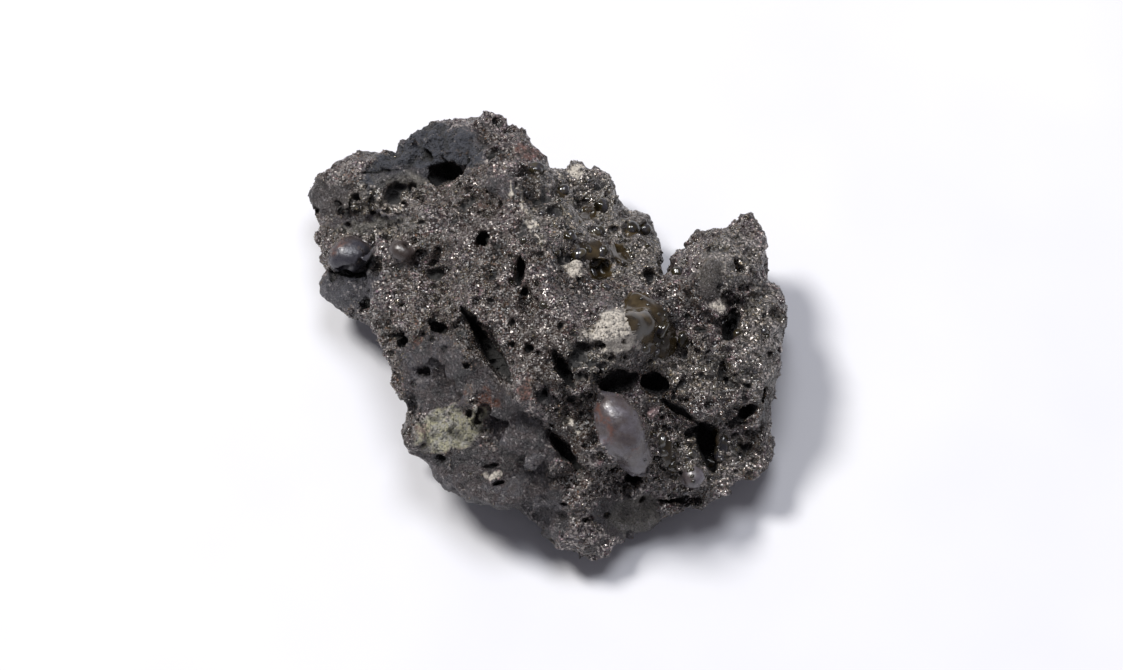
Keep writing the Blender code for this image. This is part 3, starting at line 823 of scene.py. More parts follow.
# Mean size of a folded noise, taken off so that ridges and billows leave the lump its volume.
FOLD_MIDDLE = 0.8
# How much of the noise the smooth and the dull stretches lose, and the softness of their borders.
CALM_SHARE = 0.9
DULL_SHARE = 0.42
SMOOTH_EDGE = 0.2
# Slopes between these two turn from facing away to facing the viewer.
FACING = (-0.1, 0.3)
# Half side of the drawing plane that zones are worked out on, and the spacing of its places (mm).
PLANE_REACH = 40.0
PLANE_STEP = 0.1
# Sizes (mm) of the patches that pits and grains crowd in, and of the faces of the hidden sides.
PATCH_GRAIN = 7.0
FACE_GRAIN = 14.0
# How far the ragged noise pushes a border (mm): much on the stone, little round glass and blisters.
ZONE_RAG = 0.38
GLOSS_RAG = 0.12
GLOSS_ZONES = ("calm", "glass")
# Zones whose grains have no shine.
MATT_ZONES = ("chalk", "sulphur", "crust", "rust", "dull")
# Points this far (mm) outside the uncarved skin belong to the show side, whichever way they face.
WELL_OUTSIDE = 1.0
# How far a slope faces the viewer at the border of the show side: from hidden to shown.
SHOW_EDGE = (0.0, 0.25)
# The values of the broad noise between which a hidden face turns matt.
HIDDEN_FACES = (0.1, 0.7)
# Depths (mm) between which holes lose their shine, and the most that is kept.
SHADED = (0.4, 1.2)
DEEPEST = 4.0
# Crevices are the points that lie this far (mm) below the skin when it is softened over this reach (mm).
CREVICE_REACH = 0.55
CREVICE_DEPTH = 0.22
# Share of the painted shade and dirt in crevices that pale stretches go without.
PALE_CREVICES = 0.5


def facing_viewer(field):
    """1 where the field's slope faces the viewer of the drawing plane, 0 where it faces away."""
    rise_y = np.gradient(field.values, axis=1)
    rise_z = np.gradient(field.values, axis=2)
    return smooth_step(*FACING, (rise_y * TOWARDS[1] + rise_z * TOWARDS[2]) / field.cell)


def smoothness(across, up):
    """How smooth each place froze."""
    smoothest = CALM_SHARE * spots_weight({**SMOOTH_SPOTS, **GLASS_SPOTS}, across, up, SMOOTH_EDGE)
    return np.maximum(smoothest, DULL_SHARE * spots_weight(DULL_SPOTS, across, up, SMOOTH_EDGE))


def crustiness(across, up):
    """How much of the matt crust each place carries."""
    smooth = spots_weight({**SMOOTH_SPOTS, **DULL_SPOTS}, across, up)
    return spots_weight(CRUST_SPOTS, across, up) * (1.0 - smooth)


def spread_from_plane(field, weigh):
    """For every grid point, a weight that is worked out once on the drawing plane and looked up."""
    reach = PLANE_REACH
    row = np.arange(-reach, reach, PLANE_STEP, dtype=np.float32)
    plane = weigh(*np.meshgrid(row, row, indexing="ij"))
    x, y, z = field.axes()
    column = ((x - CENTRE_SHIFT[0] + reach) / PLANE_STEP).astype(int)
    line = (((y - CENTRE_SHIFT[1]) * LOOK_SIN + z * LOOK_COS + reach) / PLANE_STEP).astype(int)
    last = len(row) - 1
    return plane[np.clip(column, 0, last), np.clip(line, 0, last)]


def roughen(field, sizes):
    """Moves the skin in and out by noise: least where it froze smooth, most on the crust."""
    facing = facing_viewer(field)
    shares = {
        "everywhere": 1.0,
        "rough": 1.0 - spread_from_plane(field, smoothness) * facing,
        "crust": spread_from_plane(field, crustiness) * facing,
    }
    for step, (grain, share, group, kind, stretches) in enumerate(SKIN_NOISE):
        depth = share * getattr(sizes, group) / MM
        noise = grid_noise(field, grain, NOISE_SEED + 20 + step)
        if kind == "billow":
            noise = FOLD_MIDDLE - np.abs(noise)
        if kind == "ridged":
            noise = np.abs(noise) - FOLD_MIDDLE
        field.values += depth * noise * shares[stretches]


def largest_shell(points, quads):
    """Keeps the one outer shell and drops sealed bubbles and loose crumbs."""
    labels = np.arange(len(points))
    starts, ends = quads.ravel(), np.roll(quads, -1, axis=1).ravel()
    before = None
    while before is None or (labels != before).any():
        before = labels.copy()
        least = np.minimum(labels[starts], labels[ends])
        np.minimum.at(labels, starts, least)
        np.minimum.at(labels, ends, least)
        labels = labels[labels]
    kept = labels == np.bincount(labels).argmax()
    renumbered = np.cumsum(kept) - 1
    return points[kept], renumbered[quads[kept[quads[:, 0]]]]


class Base:
    """The field as it was before anything was carved: tells how deep a point lies and which way it looks."""

    def __init__(self, field):
        self.values = field.values.copy()
        self.facing = facing_viewer(field)
        self.patches = grid_noise(field, PATCH_GRAIN, NOISE_SEED + 2)
        self.faces = grid_noise(field, FACE_GRAIN, NOISE_SEED + 3)


def zone_weights(field, base, points, ragged):
    """{zone: weight at each point}. Borders are pushed about by the ragged noise."""
    across, up = plane_place(points)
    pushed = [field.sample(part, points) for part in ragged[:2]]
    outside = field.sample(base.values, points)
    showing = smooth_step(*SHOW_EDGE, field.sample(base.facing, points))
    showing = np.where(outside > WELL_OUTSIDE, 1.0, showing)
    found = {}
    for name, spots in ZONES.items():
        rag = GLOSS_RAG if name in GLOSS_ZONES else ZONE_RAG
        found[name] = spots_weight(spots, across + rag * pushed[0], up + rag * pushed[1]) * showing
    # The depth below the uncarved skin also sets how dark the painted shade in holes is.
    found["depth"] = np.clip(-outside, 0.0, DEEPEST)
    found["patch"] = field.sample(base.patches, points)
    hidden = (1.0 - showing) * smooth_step(*HIDDEN_FACES, field.sample(base.faces, points))
    found["dull"] = np.maximum(found["dull"], hidden)
    shaded = smooth_step(*SHADED, found["depth"])
    found["matt"] = np.maximum.reduce([shaded, *(found[name] for name in MATT_ZONES)])
    # The crevice weight sets the painted shade and dirt in small crevices.
    standing = field.sample(field.blurred(CREVICE_REACH), points)
    found["crevice"] = smooth_step(0.0, 1.0, -standing / CREVICE_DEPTH)
    found["crevice"] *= 1.0 - PALE_CREVICES * np.maximum(found["olive"], found["chalk"])
    return found


def build_skin(sizes):
    """The whole carved skin as one object, with its zones written on its points."""
    field = Field(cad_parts["slag"], sizes.cell / MM)
    field.values = field.blurred(FACET_BLUR)
    warp = Warp(field)
    scoop_out(field)
    roughen(field, sizes)
    base = Base(field)
    work_in_marks(field, warp)
    work_in_small_pits(field, base, warp, sizes.small_pits)
    below_ground = -field.axes()[2]
    np.maximum(field.values, below_ground, out=field.values)
    skin = mesh_object("slag_skin", *largest_shell(*field.surface()))
    thin_out(skin, sizes.skin_triangles)
    for name, values in zone_weights(field, base, mesh_points(skin.data), warp.parts).items():
        write_weight(skin.data, name, values)
    return skin


# ---- Crystal grains: small faceted crystals that crust the rough stretches ----

# Name, how many, width range in units of the grain size, and seed of each layer of grains.
GRAIN_LAYERS = [
    ("coarse_crystals", 4500, (0.65, 1.15), 101),
    ("fine_crystals", 22000, (0.38, 0.7), 102),
]
OCTAHEDRON = np.array([(1, 0, 0), (-1, 0, 0), (0, 1, 0), (0, -1, 0), (0, 0, 1), (0, 0, -1)], float)
OCTAHEDRON_FACES = np.array(
    [(0, 2, 4), (2, 1, 4), (1, 3, 4), (3, 0, 4), (2, 0, 5), (1, 2, 5), (3, 1, 5), (0, 3, 5)]
)
# How far a crystal's corners stray, as a share, and how long or short each of its axes may be.
CORNER_STRAY = 0.25
AXIS_RANGE = (0.55, 1.25)
# Where grains get rare: into holes of these depths, between these values of the patches, whose least
# share is kept, and down to these heights above the ground (mm).
BARE_DEPTH = (0.3, 1.0)
GRAIN_PATCHES = (-0.6, 1.2)
LEAST_SHARE = 0.1
GRAIN_HEIGHT = (0.4, 1.2)
# Share of the grains that each kind of stretch goes without.
BARE_SHARES = {"dull": 0.93, "crust": 0.97, "chalk": 0.85, "sulphur": 0.9}
BARE_OLIVE = 0.75


def random_turns(dice, count):
    """Random rotation matrices, from random unit quaternions."""
    w, x, y, z = dice.standard_normal((count, 4)).T
    size = np.sqrt(w * w + x * x + y * y + z * z)
    w, x, y, z = w / size, x / size, y / size, z / size
    rows = [
        (1 - 2 * (y * y + z * z), 2 * (x * y - z * w), 2 * (x * z + y * w)),
        (2 * (x * y + z * w), 1 - 2 * (x * x + z * z), 2 * (y * z - x * w)),
        (2 * (x * z - y * w), 2 * (y * z + x * w), 1 - 2 * (x * x + y * y)),
    ]
    return np.array(rows).transpose(2, 0, 1)


def grain_density(mesh, triangles):
    """How likely each triangle of the skin is to carry a grain, by its area and its zone."""
    corners = mesh_points(mesh)[triangles]
    area = np.linalg.norm(np.cross(corners[:, 1] - corners[:, 0], corners[:, 2] - corners[:, 0]), axis=1)
    names = (*ZONES, "depth", "patch")
    weight = {name: read_weight(mesh, name)[triangles].mean(axis=1) for name in names}
    density = (1 - weight["calm"]) * (1 - weight["glass"]) ** 2
    for name, share in BARE_SHARES.items():
        density *= 1 - share * weight[name]
    density *= 1 - smooth_step(*BARE_DEPTH, weight["depth"])
    density *= 1 - BARE_OLIVE * weight["olive"]
    density *= LEAST_SHARE + smooth_step(*GRAIN_PATCHES, weight["patch"])
    density *= smooth_step(*GRAIN_HEIGHT, corners[:, :, 2].mean(axis=1))
    return density * area


def scatter_grains(name, skin, count, widths, seed):
    """One object of many octahedral crystals, half sunk into the skin, with a random tone each."""
    dice = np.random.default_rng(seed)
    triangles = mesh_triangles(skin.data)
    chance = grain_density(skin.data, triangles)
    picked = dice.choice(len(triangles), count, p=chance / chance.sum())
    corners = mesh_points(skin.data)[triangles[picked]]
    middles = np.einsum("nc,ncd->nd", dice.dirichlet((1.0, 1.0, 1.0), count), corners)
    width = dice.uniform(*widths, count)
    shape = OCTAHEDRON[None] * (1 + CORNER_STRAY * dice.uniform(-1, 1, (count, 6, 1)))
    shape = shape * dice.uniform(*AXIS_RANGE, (count, 1, 3)) * (width / 2)[:, None, None]
    points = np.einsum("nij,nkj->nki", random_turns(dice, count), shape) + middles[:, None]
    faces = OCTAHEDRON_FACES[None] + 6 * np.arange(count)[:, None, None]
    crust = mesh_object(name, points.reshape(-1, 3), faces.reshape(-1, 3))
    write_weight(crust.data, "tone", np.repeat(dice.uniform(size=count), 6))
    return crust


# ---- Glass beads: smooth drops that welled out of the slag and froze ----

# Place on the drawing plane (across, up), length, width (mm) and turn (degrees) of the drops that stand out.
DROPS = [
    (1.7, 18.9, 1.9, 1.6, 60.0), (6.8, 17.0, 2.2, 1.8, -40.0), (4.9, 17.9, 1.3, 1.1, 0.0),
    (6.1, 13.5, 2.1, 1.8, 10.0), (10.7, 14.0, 2.3, 2.0, 70.0), (12.4, 13.9, 2.0, 1.8, 0.0),
    (3.7, 10.5, 2.1, 1.6, 30.0), (4.9, 11.1, 1.3, 1.0, -70.0), (6.9, 10.8, 1.8, 1.4, 80.0),
    (2.6, 12.7, 2.0, 1.8, -50.0), (5.7, 7.9, 3.2, 0.9, -64.0), (7.2, 6.1, 1.5, 1.1, -50.0),
    (-1.8, 21.7, 2.3, 1.9, 0.0), (-1.2, 15.7, 1.1, 1.0, 0.0), (-3.4, 12.2, 1.2, 0.9, 40.0),
    (-0.9, 3.8, 1.3, 1.2, 0.0), (14.5, 0.6, 2.6, 1.7, 60.0), (13.2, -0.3, 2.4, 1.3, 30.0),
    (12.2, -1.9, 1.6, 1.4, 0.0), (13.7, -2.3, 1.3, 1.1, 0.0), (11.7, 3.0, 1.2, 1.0, 0.0),
    (17.2, -0.6, 2.2, 1.7, 80.0), (16.5, 8.2, 1.6, 1.3, 0.0), (24.3, 0.0, 1.6, 1.3, 80.0),
    (22.4, -14.6, 4.4, 1.7, 80.0), (14.5, -13.7, 2.0, 1.2, 80.0), (14.7, -15.2, 1.4, 1.2, 0.0),
    (15.8, -16.9, 1.7, 1.1, 60.0), (17.0, -21.0, 1.4, 1.1, 0.0), (2.6, 12.0, 1.0, 0.9, 0.0),
]
# Middle, reach (mm) and count of the loose crowds of small drops.
DROP_CROWDS = [
    ((6.5, 14.5), 7.0, 60),
    ((18.5, -16.5), 6.5, 60),
    ((14.0, 2.0), 3.5, 14),
    ((-2.0, 6.0), 6.0, 14),
    ((25.0, -1.5), 4.0, 14),
]
# Width (mm) of a small drop: least, share that varies, how fast wide ones get rare, and most.
DROP_LEAST, DROP_VARIES, DROP_RARITY, DROP_MOST = 0.45, 0.3, 3.0, 1.3
DROP_LENGTH = 1.2
DROP_RINGS = 12
# Skin that faces the viewer less than this carries no drop.
BEAD_FACING = 0.35
# A drop's axis leans this much more towards the viewer than along the skin's normal.
BEAD_LEAN = 3.0
BEAD_WOBBLE = 0.1
# Depth of a drop's middle below the skin, as a share of its half width.
BEAD_SINK = 0.42


def bead_ball(rings):
    """(points, triangles) of a ball of radius 1 made of rings of points."""
    turns = 2 * rings
    fall = np.pi * np.arange(1, rings) / rings
    round_about = 2 * np.pi * np.arange(turns) / turns
    points = [(0.0, 0.0, 1.0)]
    points += [(np.sin(f) * np.cos(r), np.sin(f) * np.sin(r), np.cos(f)) for f in fall for r in round_about]
    points.append((0.0, 0.0, -1.0))
    last = len(points) - 1
    faces = []
    for k in range(turns):
        after = (k + 1) % turns
        faces.append((0, 1 + k, 1 + after))
        faces.append((last, last - turns + after, last - turns + k))
        for ring in range(rings - 2):
            a, b = 1 + ring * turns + k, 1 + ring * turns + after
            faces += [(a, a + turns, b), (b, a + turns, b + turns)]
    return np.array(points), np.array(faces)


def place_beads(name, skin):
    """One object of smooth drops, each turned towards the viewer and sunk by part of its width."""
    dice = np.random.default_rng(NOISE_SEED + 50)
    spots = list(DROPS)
    for (across, up), reach, count in DROP_CROWDS:
        turn, away = dice.uniform(0, 2 * np.pi, count), reach * np.sqrt(dice.uniform(size=count))
        width = np.minimum(DROP_LEAST + DROP_VARIES * dice.pareto(DROP_RARITY, count), DROP_MOST)
        place = (across + away * np.cos(turn), up + away * np.sin(turn))
        spots += zip(*place, DROP_LENGTH * width, width, 9 * turn)
    ball, ball_faces = bead_ball(DROP_RINGS)
    points, faces = [], []
    for across, up, length, width, turn_deg in spots:
        start = Vector((plane_point(across, up) + SIGHT_START * TOWARDS) * MM)
        hit, place, normal, _ = skin.ray_cast(start, -Vector(TOWARDS))
        if not hit or normal.dot(Vector(TOWARDS)) < BEAD_FACING:
            continue
        out = unit(np.array(normal) + BEAD_LEAN * TOWARDS)
        side = unit(np.cross(out, plane_direction(turn_deg)))
        shape = (ball * np.array((length, width, width)) / 2) @ np.array((np.cross(side, out), side, out))
        wave = dice.standard_normal(3)
        wobble = 1.0 + BEAD_WOBBLE * np.sin(3.0 * ball @ wave + dice.uniform(0, 6))
        faces.append(ball_faces + len(points) * len(ball))
        points.append(shape * wobble[:, None] + np.array(place) / MM - out * width / 2 * BEAD_SINK)
    beads = mesh_object(name, np.concatenate(points), np.concatenate(faces))
    smooth_shaded(beads.data)
    return beads


# ---- Materials ----

# Near-black of the painted shade in holes and crevices, and of the dirt in crevices.
HOLLOW_SHADE_AND_DIRT = "#0E0B0A"
# Rounding (mm) and strength of the bump that packed grains get.
GRAIN_ROUNDING, GRAIN_STRENGTH = 0.12, 0.8
# Distances from a grain's middle, in cells, that the painted shade of its gaps runs between, and the shade
# at each.
GAP_SHADES = (0.25, 0.75, 1.12, 0.28)


def add(tree, kind, fed=None, **settings):
    """Adds one node. Settings go on the node, and fed gives inputs a value or an (other node, output)."""
    made = tree.nodes.new(kind)
    for name, value in settings.items():
        setattr(made, name, value)
    for socket, value in (fed or {}).items():
        if isinstance(value, tuple) and isinstance(value[0], bpy.types.Node):
            tree.links.new(value[0].outputs[value[1]], made.inputs[socket])
        else:
            made.inputs[socket].default_value = value
    return made


def new_material(name):
    """(material, its empty node tree, the place on the object that its patterns are laid out by)."""
    made = bpy.data.materials.new(name)
    made.use_nodes = True
    tree = made.node_tree
    tree.nodes.clear()
    return made, tree, (add(tree, "ShaderNodeTexCoord"), "Object")


def finished(tree, colour, roughness, ior, normal=None, metallic=0.0):
    """Closes a material: its surface, and the output that shows it."""
    fed = {"Base Color": colour, "Metallic": metallic, "Roughness": roughness, "IOR": ior}
    if normal:
        fed["Normal"] = normal
    shader = add(tree, "ShaderNodeBsdfPrincipled", fed)
    add(tree, "ShaderNodeOutputMaterial", {"Surface": (shader, "BSDF")})


def noise(tree, place, size_mm, detail, roughness=0.5):
    """Cloudy noise with cells about this many millimetres wide."""
    fed = {"Vector": place, "Scale": 1.0 / (size_mm * MM), "Detail": detail, "Roughness": roughness}
    return add(tree, "ShaderNodeTexNoise", fed), "Fac"


def stretched(tree, value, low, high, least=0.0, most=1.0, **settings):
    """A value's range from low to high, stretched to run from least to most."""
    fed = {"Value": value, "From Min": low, "From Max": high, "To Min": least, "To Max": most}
    return add(tree, "ShaderNodeMapRange", fed, **settings), 0


def times(tree, one, other):
    """One value times another."""
    return add(tree, "ShaderNodeMath", {0: one, 1: other}, operation="MULTIPLY"), 0


def weight_of(tree, name, low=0.1, high=0.9):
    """A zone's weight on the skin, stretched between two values."""
    layer = add(tree, "ShaderNodeAttribute", attribute_name=name)
    return stretched(tree, (layer, "Fac"), low, high, interpolation_type="SMOOTHSTEP")


def ramp(tree, value, stops):
    """A colour ramp over a value, from its stops: (place, colour)."""
    made = add(tree, "ShaderNodeValToRGB", {"Fac": value})
    points = made.color_ramp.elements
    while len(points) < len(stops):
        points.new(1.0)
    for point, (place, colour) in zip(points, stops):
        point.position = place
        point.color = (*linear(colour), 1.0)
    return made, "Color"


def blended(tree, under, over, share, **settings):
    """Mixes two colours, each a plain colour or an (other node, output), by a share."""
    under, over = (
        c if isinstance(c[0], bpy.types.Node) else (*linear(c), 1.0) for c in (under, over)
    )
    return add(tree, "ShaderNodeMix", {0: share, 6: under, 7: over}, data_type="RGBA", **settings), 2


def toned(tree, colour, tones, share):
    """A colour multiplied by tones, by a share."""
    return blended(tree, colour, tones, share, blend_type="MULTIPLY")


def bumped(tree, height, strength, rise_mm, below=None):
    """A bump that rises this many millimetres over a height, on top of the bump below it."""
    fed = {"Height": height, "Strength": strength, "Distance": rise_mm * MM}
    if below:
        fed["Normal"] = below
    return add(tree, "ShaderNodeBump", fed), "Normal"


def painted_shade_and_dirt(tree, colour):
    """Painted shade and dirt: holes go dark with their depth as painted shade, and the small crevices
    between grains go dark as well, partly dirt and partly painted shade.
    """
    colour = blended(tree, colour, HOLLOW_SHADE_AND_DIRT, weight_of(tree, "depth", 0.1, 1.2))
    return blended(tree, colour, HOLLOW_SHADE_AND_DIRT, times(tree, weight_of(tree, "crevice", 0.0, 1.0), 0.7))


def browned(tree, colour):
    """The liver-brown skin that iron gives some blisters and faces."""
    return blended(tree, colour, "#2B2019", times(tree, weight_of(tree, "brown"), 0.78))


def olive_tint_and_painted_light(tree, colour):
    """The paler olive-grey of the olive stretches: partly their own tint, partly painted light that lifts
    stretches lying in shade.
    """
    return blended(tree, colour, "#77736A", times(tree, weight_of(tree, "olive"), 0.75))


def facet_bump(tree, place, size_mm, tilt, below=None):
    """(bump, cells): gives every cell of a pattern its own flat tilt, like the faces of packed crystals."""
    cells = add(tree, "ShaderNodeTexVoronoi", {"Vector": place, "Scale": 1.0 / (size_mm * MM)})
    inside, lean = (
        add(tree, "ShaderNodeVectorMath", {0: one, 1: other}, operation="SUBTRACT")
        for one, other in ((place, (cells, "Position")), ((cells, "Color"), (0.5, 0.5, 0.5)))
    )
    height = add(
        tree, "ShaderNodeVectorMath", {0: (inside, 0), 1: (lean, 0)}, operation="DOT_PRODUCT"
    )
    # The height is in metres already, so the tilt is only how steep it is made.
    return bumped(tree, (height, "Value"), 1.0, tilt / MM, below), cells


def packed(tree, cells, below):
    """(bump, shade): grains packed side by side, rounded on top, with painted shade that darkens the gaps
    between them.
    """
    away = (cells, "Distance")
    gaps = stretched(tree, away, *GAP_SHADES)
    return bumped(tree, away, GRAIN_STRENGTH, -GRAIN_ROUNDING, below), gaps


def specked(tree, cells):
    """The random red, green and blue value of each cell."""
    return add(tree, "ShaderNodeSeparateColor", {"Color": (cells, "Color")})


def slag_stone(colours):
    """Air-cooled furnace slag, broken and never polished: a rough crystalline ground, with painted shade in
    its pits and crevices.
    """
    made, tree, place = new_material("air_cooled_slag_rough")
    patches = noise(tree, place, 5.0, 5.0, 0.65)
    ground = ramp(tree, patches, [
        (0.32, "#241A14"), (0.43, "#45362A"), (0.50, colours.stone), (0.57, "#57484C"), (0.68, "#867A79"),
    ])
    facets, cells = facet_bump(tree, place, 0.3, 1.5)
    facets, gaps = packed(tree, cells, facets)
    speck = specked(tree, cells)
    tones = ramp(tree, (speck, "Red"), [
        (0.0, (0.1,) * 3), (0.45, (0.38,) * 3), (0.8, (0.7,) * 3), (0.93, (1.6,) * 3), (1.0, (3.2,) * 3),
    ])
    # Olive tint, with painted light that lifts stretches lying in shade.
    colour = toned(tree, olive_tint_and_painted_light(tree, ground), tones, 0.85)
    mottle = noise(tree, place, 1.0, 5.0, 0.75)
    hues = ramp(tree, mottle, [
        (0.36, (0.62, 0.5, 0.3)), (0.46, (0.92, 0.86, 0.74)),
        (0.54, (1.1, 1.02, 1.03)), (0.64, (1.28, 1.2, 1.4)),
    ])
    colour = toned(tree, colour, hues, 0.9)
    # Painted shade darkens the gaps between grains.
    colour = browned(tree, toned(tree, colour, gaps, 1.0))
    # Each stain with its colour and how the mottle breaks it up: from low to high, least to most.
    for zone, tint, *breaks in (
        ("crust", colours.crust, 0.36, 0.42, 0.08, 0.95),
        ("sulphur", "#8F8D88", 0.38, 0.56, 0.3, 0.85),
        ("sulphur", colours.sulphur, 0.56, 0.44, 0.1, 0.75),
        ("chalk", colours.chalk, 0.28, 0.52, 0.2, 0.95),
        ("pink", "#937A7B", 0.36, 0.5, 0.2, 0.9),
        ("rust", colours.rust, 0.44, 0.60, 0.05, 0.7),
    ):
        share = times(tree, weight_of(tree, zone), stretched(tree, mottle, *breaks))
        colour = blended(tree, colour, tint, share)
    # Painted shade in holes and crevices, with some dirt in the crevices.
    colour = painted_shade_and_dirt(tree, colour)
    gloss = stretched(tree, (speck, "Green"), 0.0, 1.0, 0.1, 0.6)
    matt = weight_of(tree, "matt", 0.0, 1.0)
    roughness = add(tree, "ShaderNodeMix", {0: matt, 2: gloss, 3: 0.88}, data_type="FLOAT")
    knobs = noise(tree, place, 0.9, 3.0, 0.6)
    grit = noise(tree, place, 0.25, 3.0, 0.6)
    knobbed = bumped(tree, knobs, weight_of(tree, "crust", 0.1, 0.8), 1.3, facets)
    bump = bumped(tree, grit, 0.5, 0.12, knobbed)
    bare = add(tree, "ShaderNodeMath", {0: 1.0, 1: matt}, operation="SUBTRACT")
    grown = times(tree, (bare, 0), stretched(tree, patches, 0.40, 0.56, 0.12, 1.0))
    metal = times(tree, grown, stretched(tree, (speck, "Blue"), 0.69, 0.75, 0.0, 0.9))
    colour = blended(tree, colour, "#DCD3CC", times(tree, metal, 0.75))
    finished(tree, colour, (roughness, 0), 1.8, bump, metal)
    return made


def flow_skin(colours):
    """Grey face where the slag flowed and chilled: fine-grained and matt, drawn out in faint streaks."""
    made, tree, place = new_material("air_cooled_slag_flow_face")
    ground = ramp(tree, noise(tree, place, 3.4, 6.0, 0.68), [
        (0.30, "#151213"), (0.43, "#272326"), (0.50, "#3F3434"), (0.58, "#3B393F"), (0.72, "#77706F"),
    ])
    flow = {"Vector": place, "Rotation": (0.0, 0.0, math.radians(-54.0)), "Scale": (1.0, 0.22, 1.0)}
    lean = add(tree, "ShaderNodeMapping", flow, vector_type="TEXTURE")
    streaks = noise(tree, (lean, "Vector"), 1.4, 4.0, 0.7)
    grit = noise(tree, place, 0.4, 4.0, 0.7)
    # Olive tint, with painted light that lifts stretches lying in shade.
    colour = browned(tree, olive_tint_and_painted_light(tree, ground))
    colour = blended(tree, colour, "#8F8988", stretched(tree, grit, 0.54, 0.7, 0.0, 0.6))
    colour = blended(tree, colour, "#B0ABAB", stretched(tree, streaks, 0.62, 0.72, 0.0, 0.75))
    colour = blended(tree, colour, "#231F1F", stretched(tree, streaks, 0.50, 0.32, 0.0, 0.55))
    colour = blended(tree, colour, colours.crust, times(tree, weight_of(tree, "crust"), 0.55))
    flaked = stretched(tree, grit, 0.42, 0.56, 0.1, 0.95)
    colour = blended(tree, colour, colours.rust, times(tree, weight_of(tree, "rust"), flaked))
    # Painted shade in holes and crevices, with some dirt in the crevices.
    colour = painted_shade_and_dirt(tree, colour)
    facets, cells = facet_bump(tree, place, 0.28, 0.9, bumped(tree, streaks, 0.8, 0.6))
    facets, gaps = packed(tree, cells, facets)
    iron = stretched(tree, (specked(tree, cells), "Blue"), 0.93, 0.97, 0.0, 0.6)
    # Painted shade darkens the gaps between grains, at a lower share.
    colour = blended(tree, toned(tree, colour, gaps, 0.6), "#A8A2A2", iron)
    gloss = stretched(tree, grit, 0.38, 0.62, 0.6, 0.2)
    finished(tree, colour, gloss, 1.65, bumped(tree, grit, 1.0, 0.3, facets), iron)
    return made


def blister_skin(colours):
    """Slag skin frozen over trapped gas: smooth, mauve-grey and satin, with broad soft highlights."""
    made, tree, place = new_material("slag_skin_fire_glazed")
    ground = ramp(tree, noise(tree, place, 2.4, 5.0, 0.6), [
        (0.30, "#3E373B"), (0.43, "#4B4342"), (0.54, colours.blister), (0.70, "#68636A"),
    ])
    specks = noise(tree, place, 0.5, 3.0, 0.6)
    flaked = stretched(tree, specks, 0.42, 0.62, 0.05, 0.6)
    rust = times(tree, weight_of(tree, "rust", 0.1, 0.8), flaked)
    colour = browned(tree, ground)
    colour = blended(tree, colour, "#33333B", times(tree, weight_of(tree, "crust"), 0.85))
    # Painted shade in holes and crevices, with some dirt in the crevices.
    colour = painted_shade_and_dirt(tree, blended(tree, colour, colours.rust, rust))
    gloss = stretched(tree, specks, 0.35, 0.65, 0.24, 0.48)
    finished(tree, colour, gloss, 1.7, bumped(tree, specks, 0.6, 0.14), 0.1)
    return made


def slag_glass(colours):
    """Olive-brown slag glass that ran and froze: dark, with sharp wet-looking highlights."""
    made, tree, place = new_material("slag_glass_natural")
    cloud = noise(tree, place, 1.8, 4.0, 0.55)
    colour = ramp(tree, cloud, [(0.3, "#17120B"), (0.5, colours.glass), (0.72, "#4A3E2A")])
    ripple = noise(tree, place, 2.8, 1.0)
    finished(tree, colour, 0.2, 1.52, bumped(tree, ripple, 1.0, 0.07))
    return made


def bead_glass():
    """Olive to smoky glass in drops: nearly black from above, with one sharp highlight on each."""
    made, tree, place = new_material("slag_glass_drop")
    colour = ramp(tree, noise(tree, place, 2.2, 3.0), [
        (0.35, "#15120C"), (0.48, "#2C2615"), (0.56, "#2C2B31"), (0.68, "#443E31"),
    ])
    grease = noise(tree, place, 0.5, 2.0)
    gloss = stretched(tree, grease, 0.35, 0.65, 0.1, 0.18)
    finished(tree, colour, gloss, 1.7, bumped(tree, grease, 0.3, 0.04))
    return made


def slag_crystals():
    """Iron silicate crystals grown on the slag: brown to honey faces that flash in the light."""
    made, tree, place = new_material("fayalite_crystals_grown")
    tone = (add(tree, "ShaderNodeAttribute", attribute_name="tone"), "Fac")
    colour = ramp(tree, tone, [
        (0.0, "#1E1A18"), (0.35, "#3B3330"), (0.62, "#5B504B"),
        (0.80, "#6E6450"), (0.93, "#958D88"), (1.0, "#CFC9C2"),
    ])
    gloss = stretched(tree, noise(tree, place, 0.6, 2.0), 0.35, 0.65, 0.1, 0.32)
    metal = stretched(tree, tone, 0.55, 0.85, 0.0, 0.9)
    finished(tree, colour, gloss, 1.8, metallic=metal)
    return made


def floor_paper():
    """Matt white card, pressed: nearly even, with a faint mottle."""
    made, tree, place = new_material("white_card_pressed")
    colour = ramp(tree, noise(tree, place, 30.0, 2.0), [(0.3, "#D6D6DB"), (0.7, "#DADADD")])
    finished(tree, colour, 0.85, 1.5)
    return made


# ---- Operators ----

# Material slots of the skin, in the order in which the operator adds its finishes.
STONE_SLOT, BLISTER_SLOT, GLASS_SLOT, FLOW_SLOT = 0, 1, 2, 3
# A zone owns the faces on which it weighs more than this.
OWNS = 0.5
# Bloom and chalk heavier than this keep the rough stone finish on a dull face.
BLOOMED = 0.3


def shade_zones(skin):
    """Gives each face the finish of its zone, and shades every face smooth."""
    mesh = skin.data
    corners = mesh_triangles(mesh)
    calm, glass, dull = (read_weight(mesh, name)[corners].mean(axis=1) for name in ("calm", "glass", "dull"))
    rough = np.maximum(read_weight(mesh, "sulphur"), read_weight(mesh, "chalk"))[corners].mean(axis=1)
    slots = np.where((dull > OWNS) & (rough < BLOOMED), FLOW_SLOT, STONE_SLOT)
    slots = np.where(calm > OWNS, BLISTER_SLOT, slots)
    slots = np.where(glass > OWNS, GLASS_SLOT, slots)
    mesh.polygons.foreach_set("material_index", slots.astype(np.int32))
    smooth_shaded(mesh)
    mesh.update()


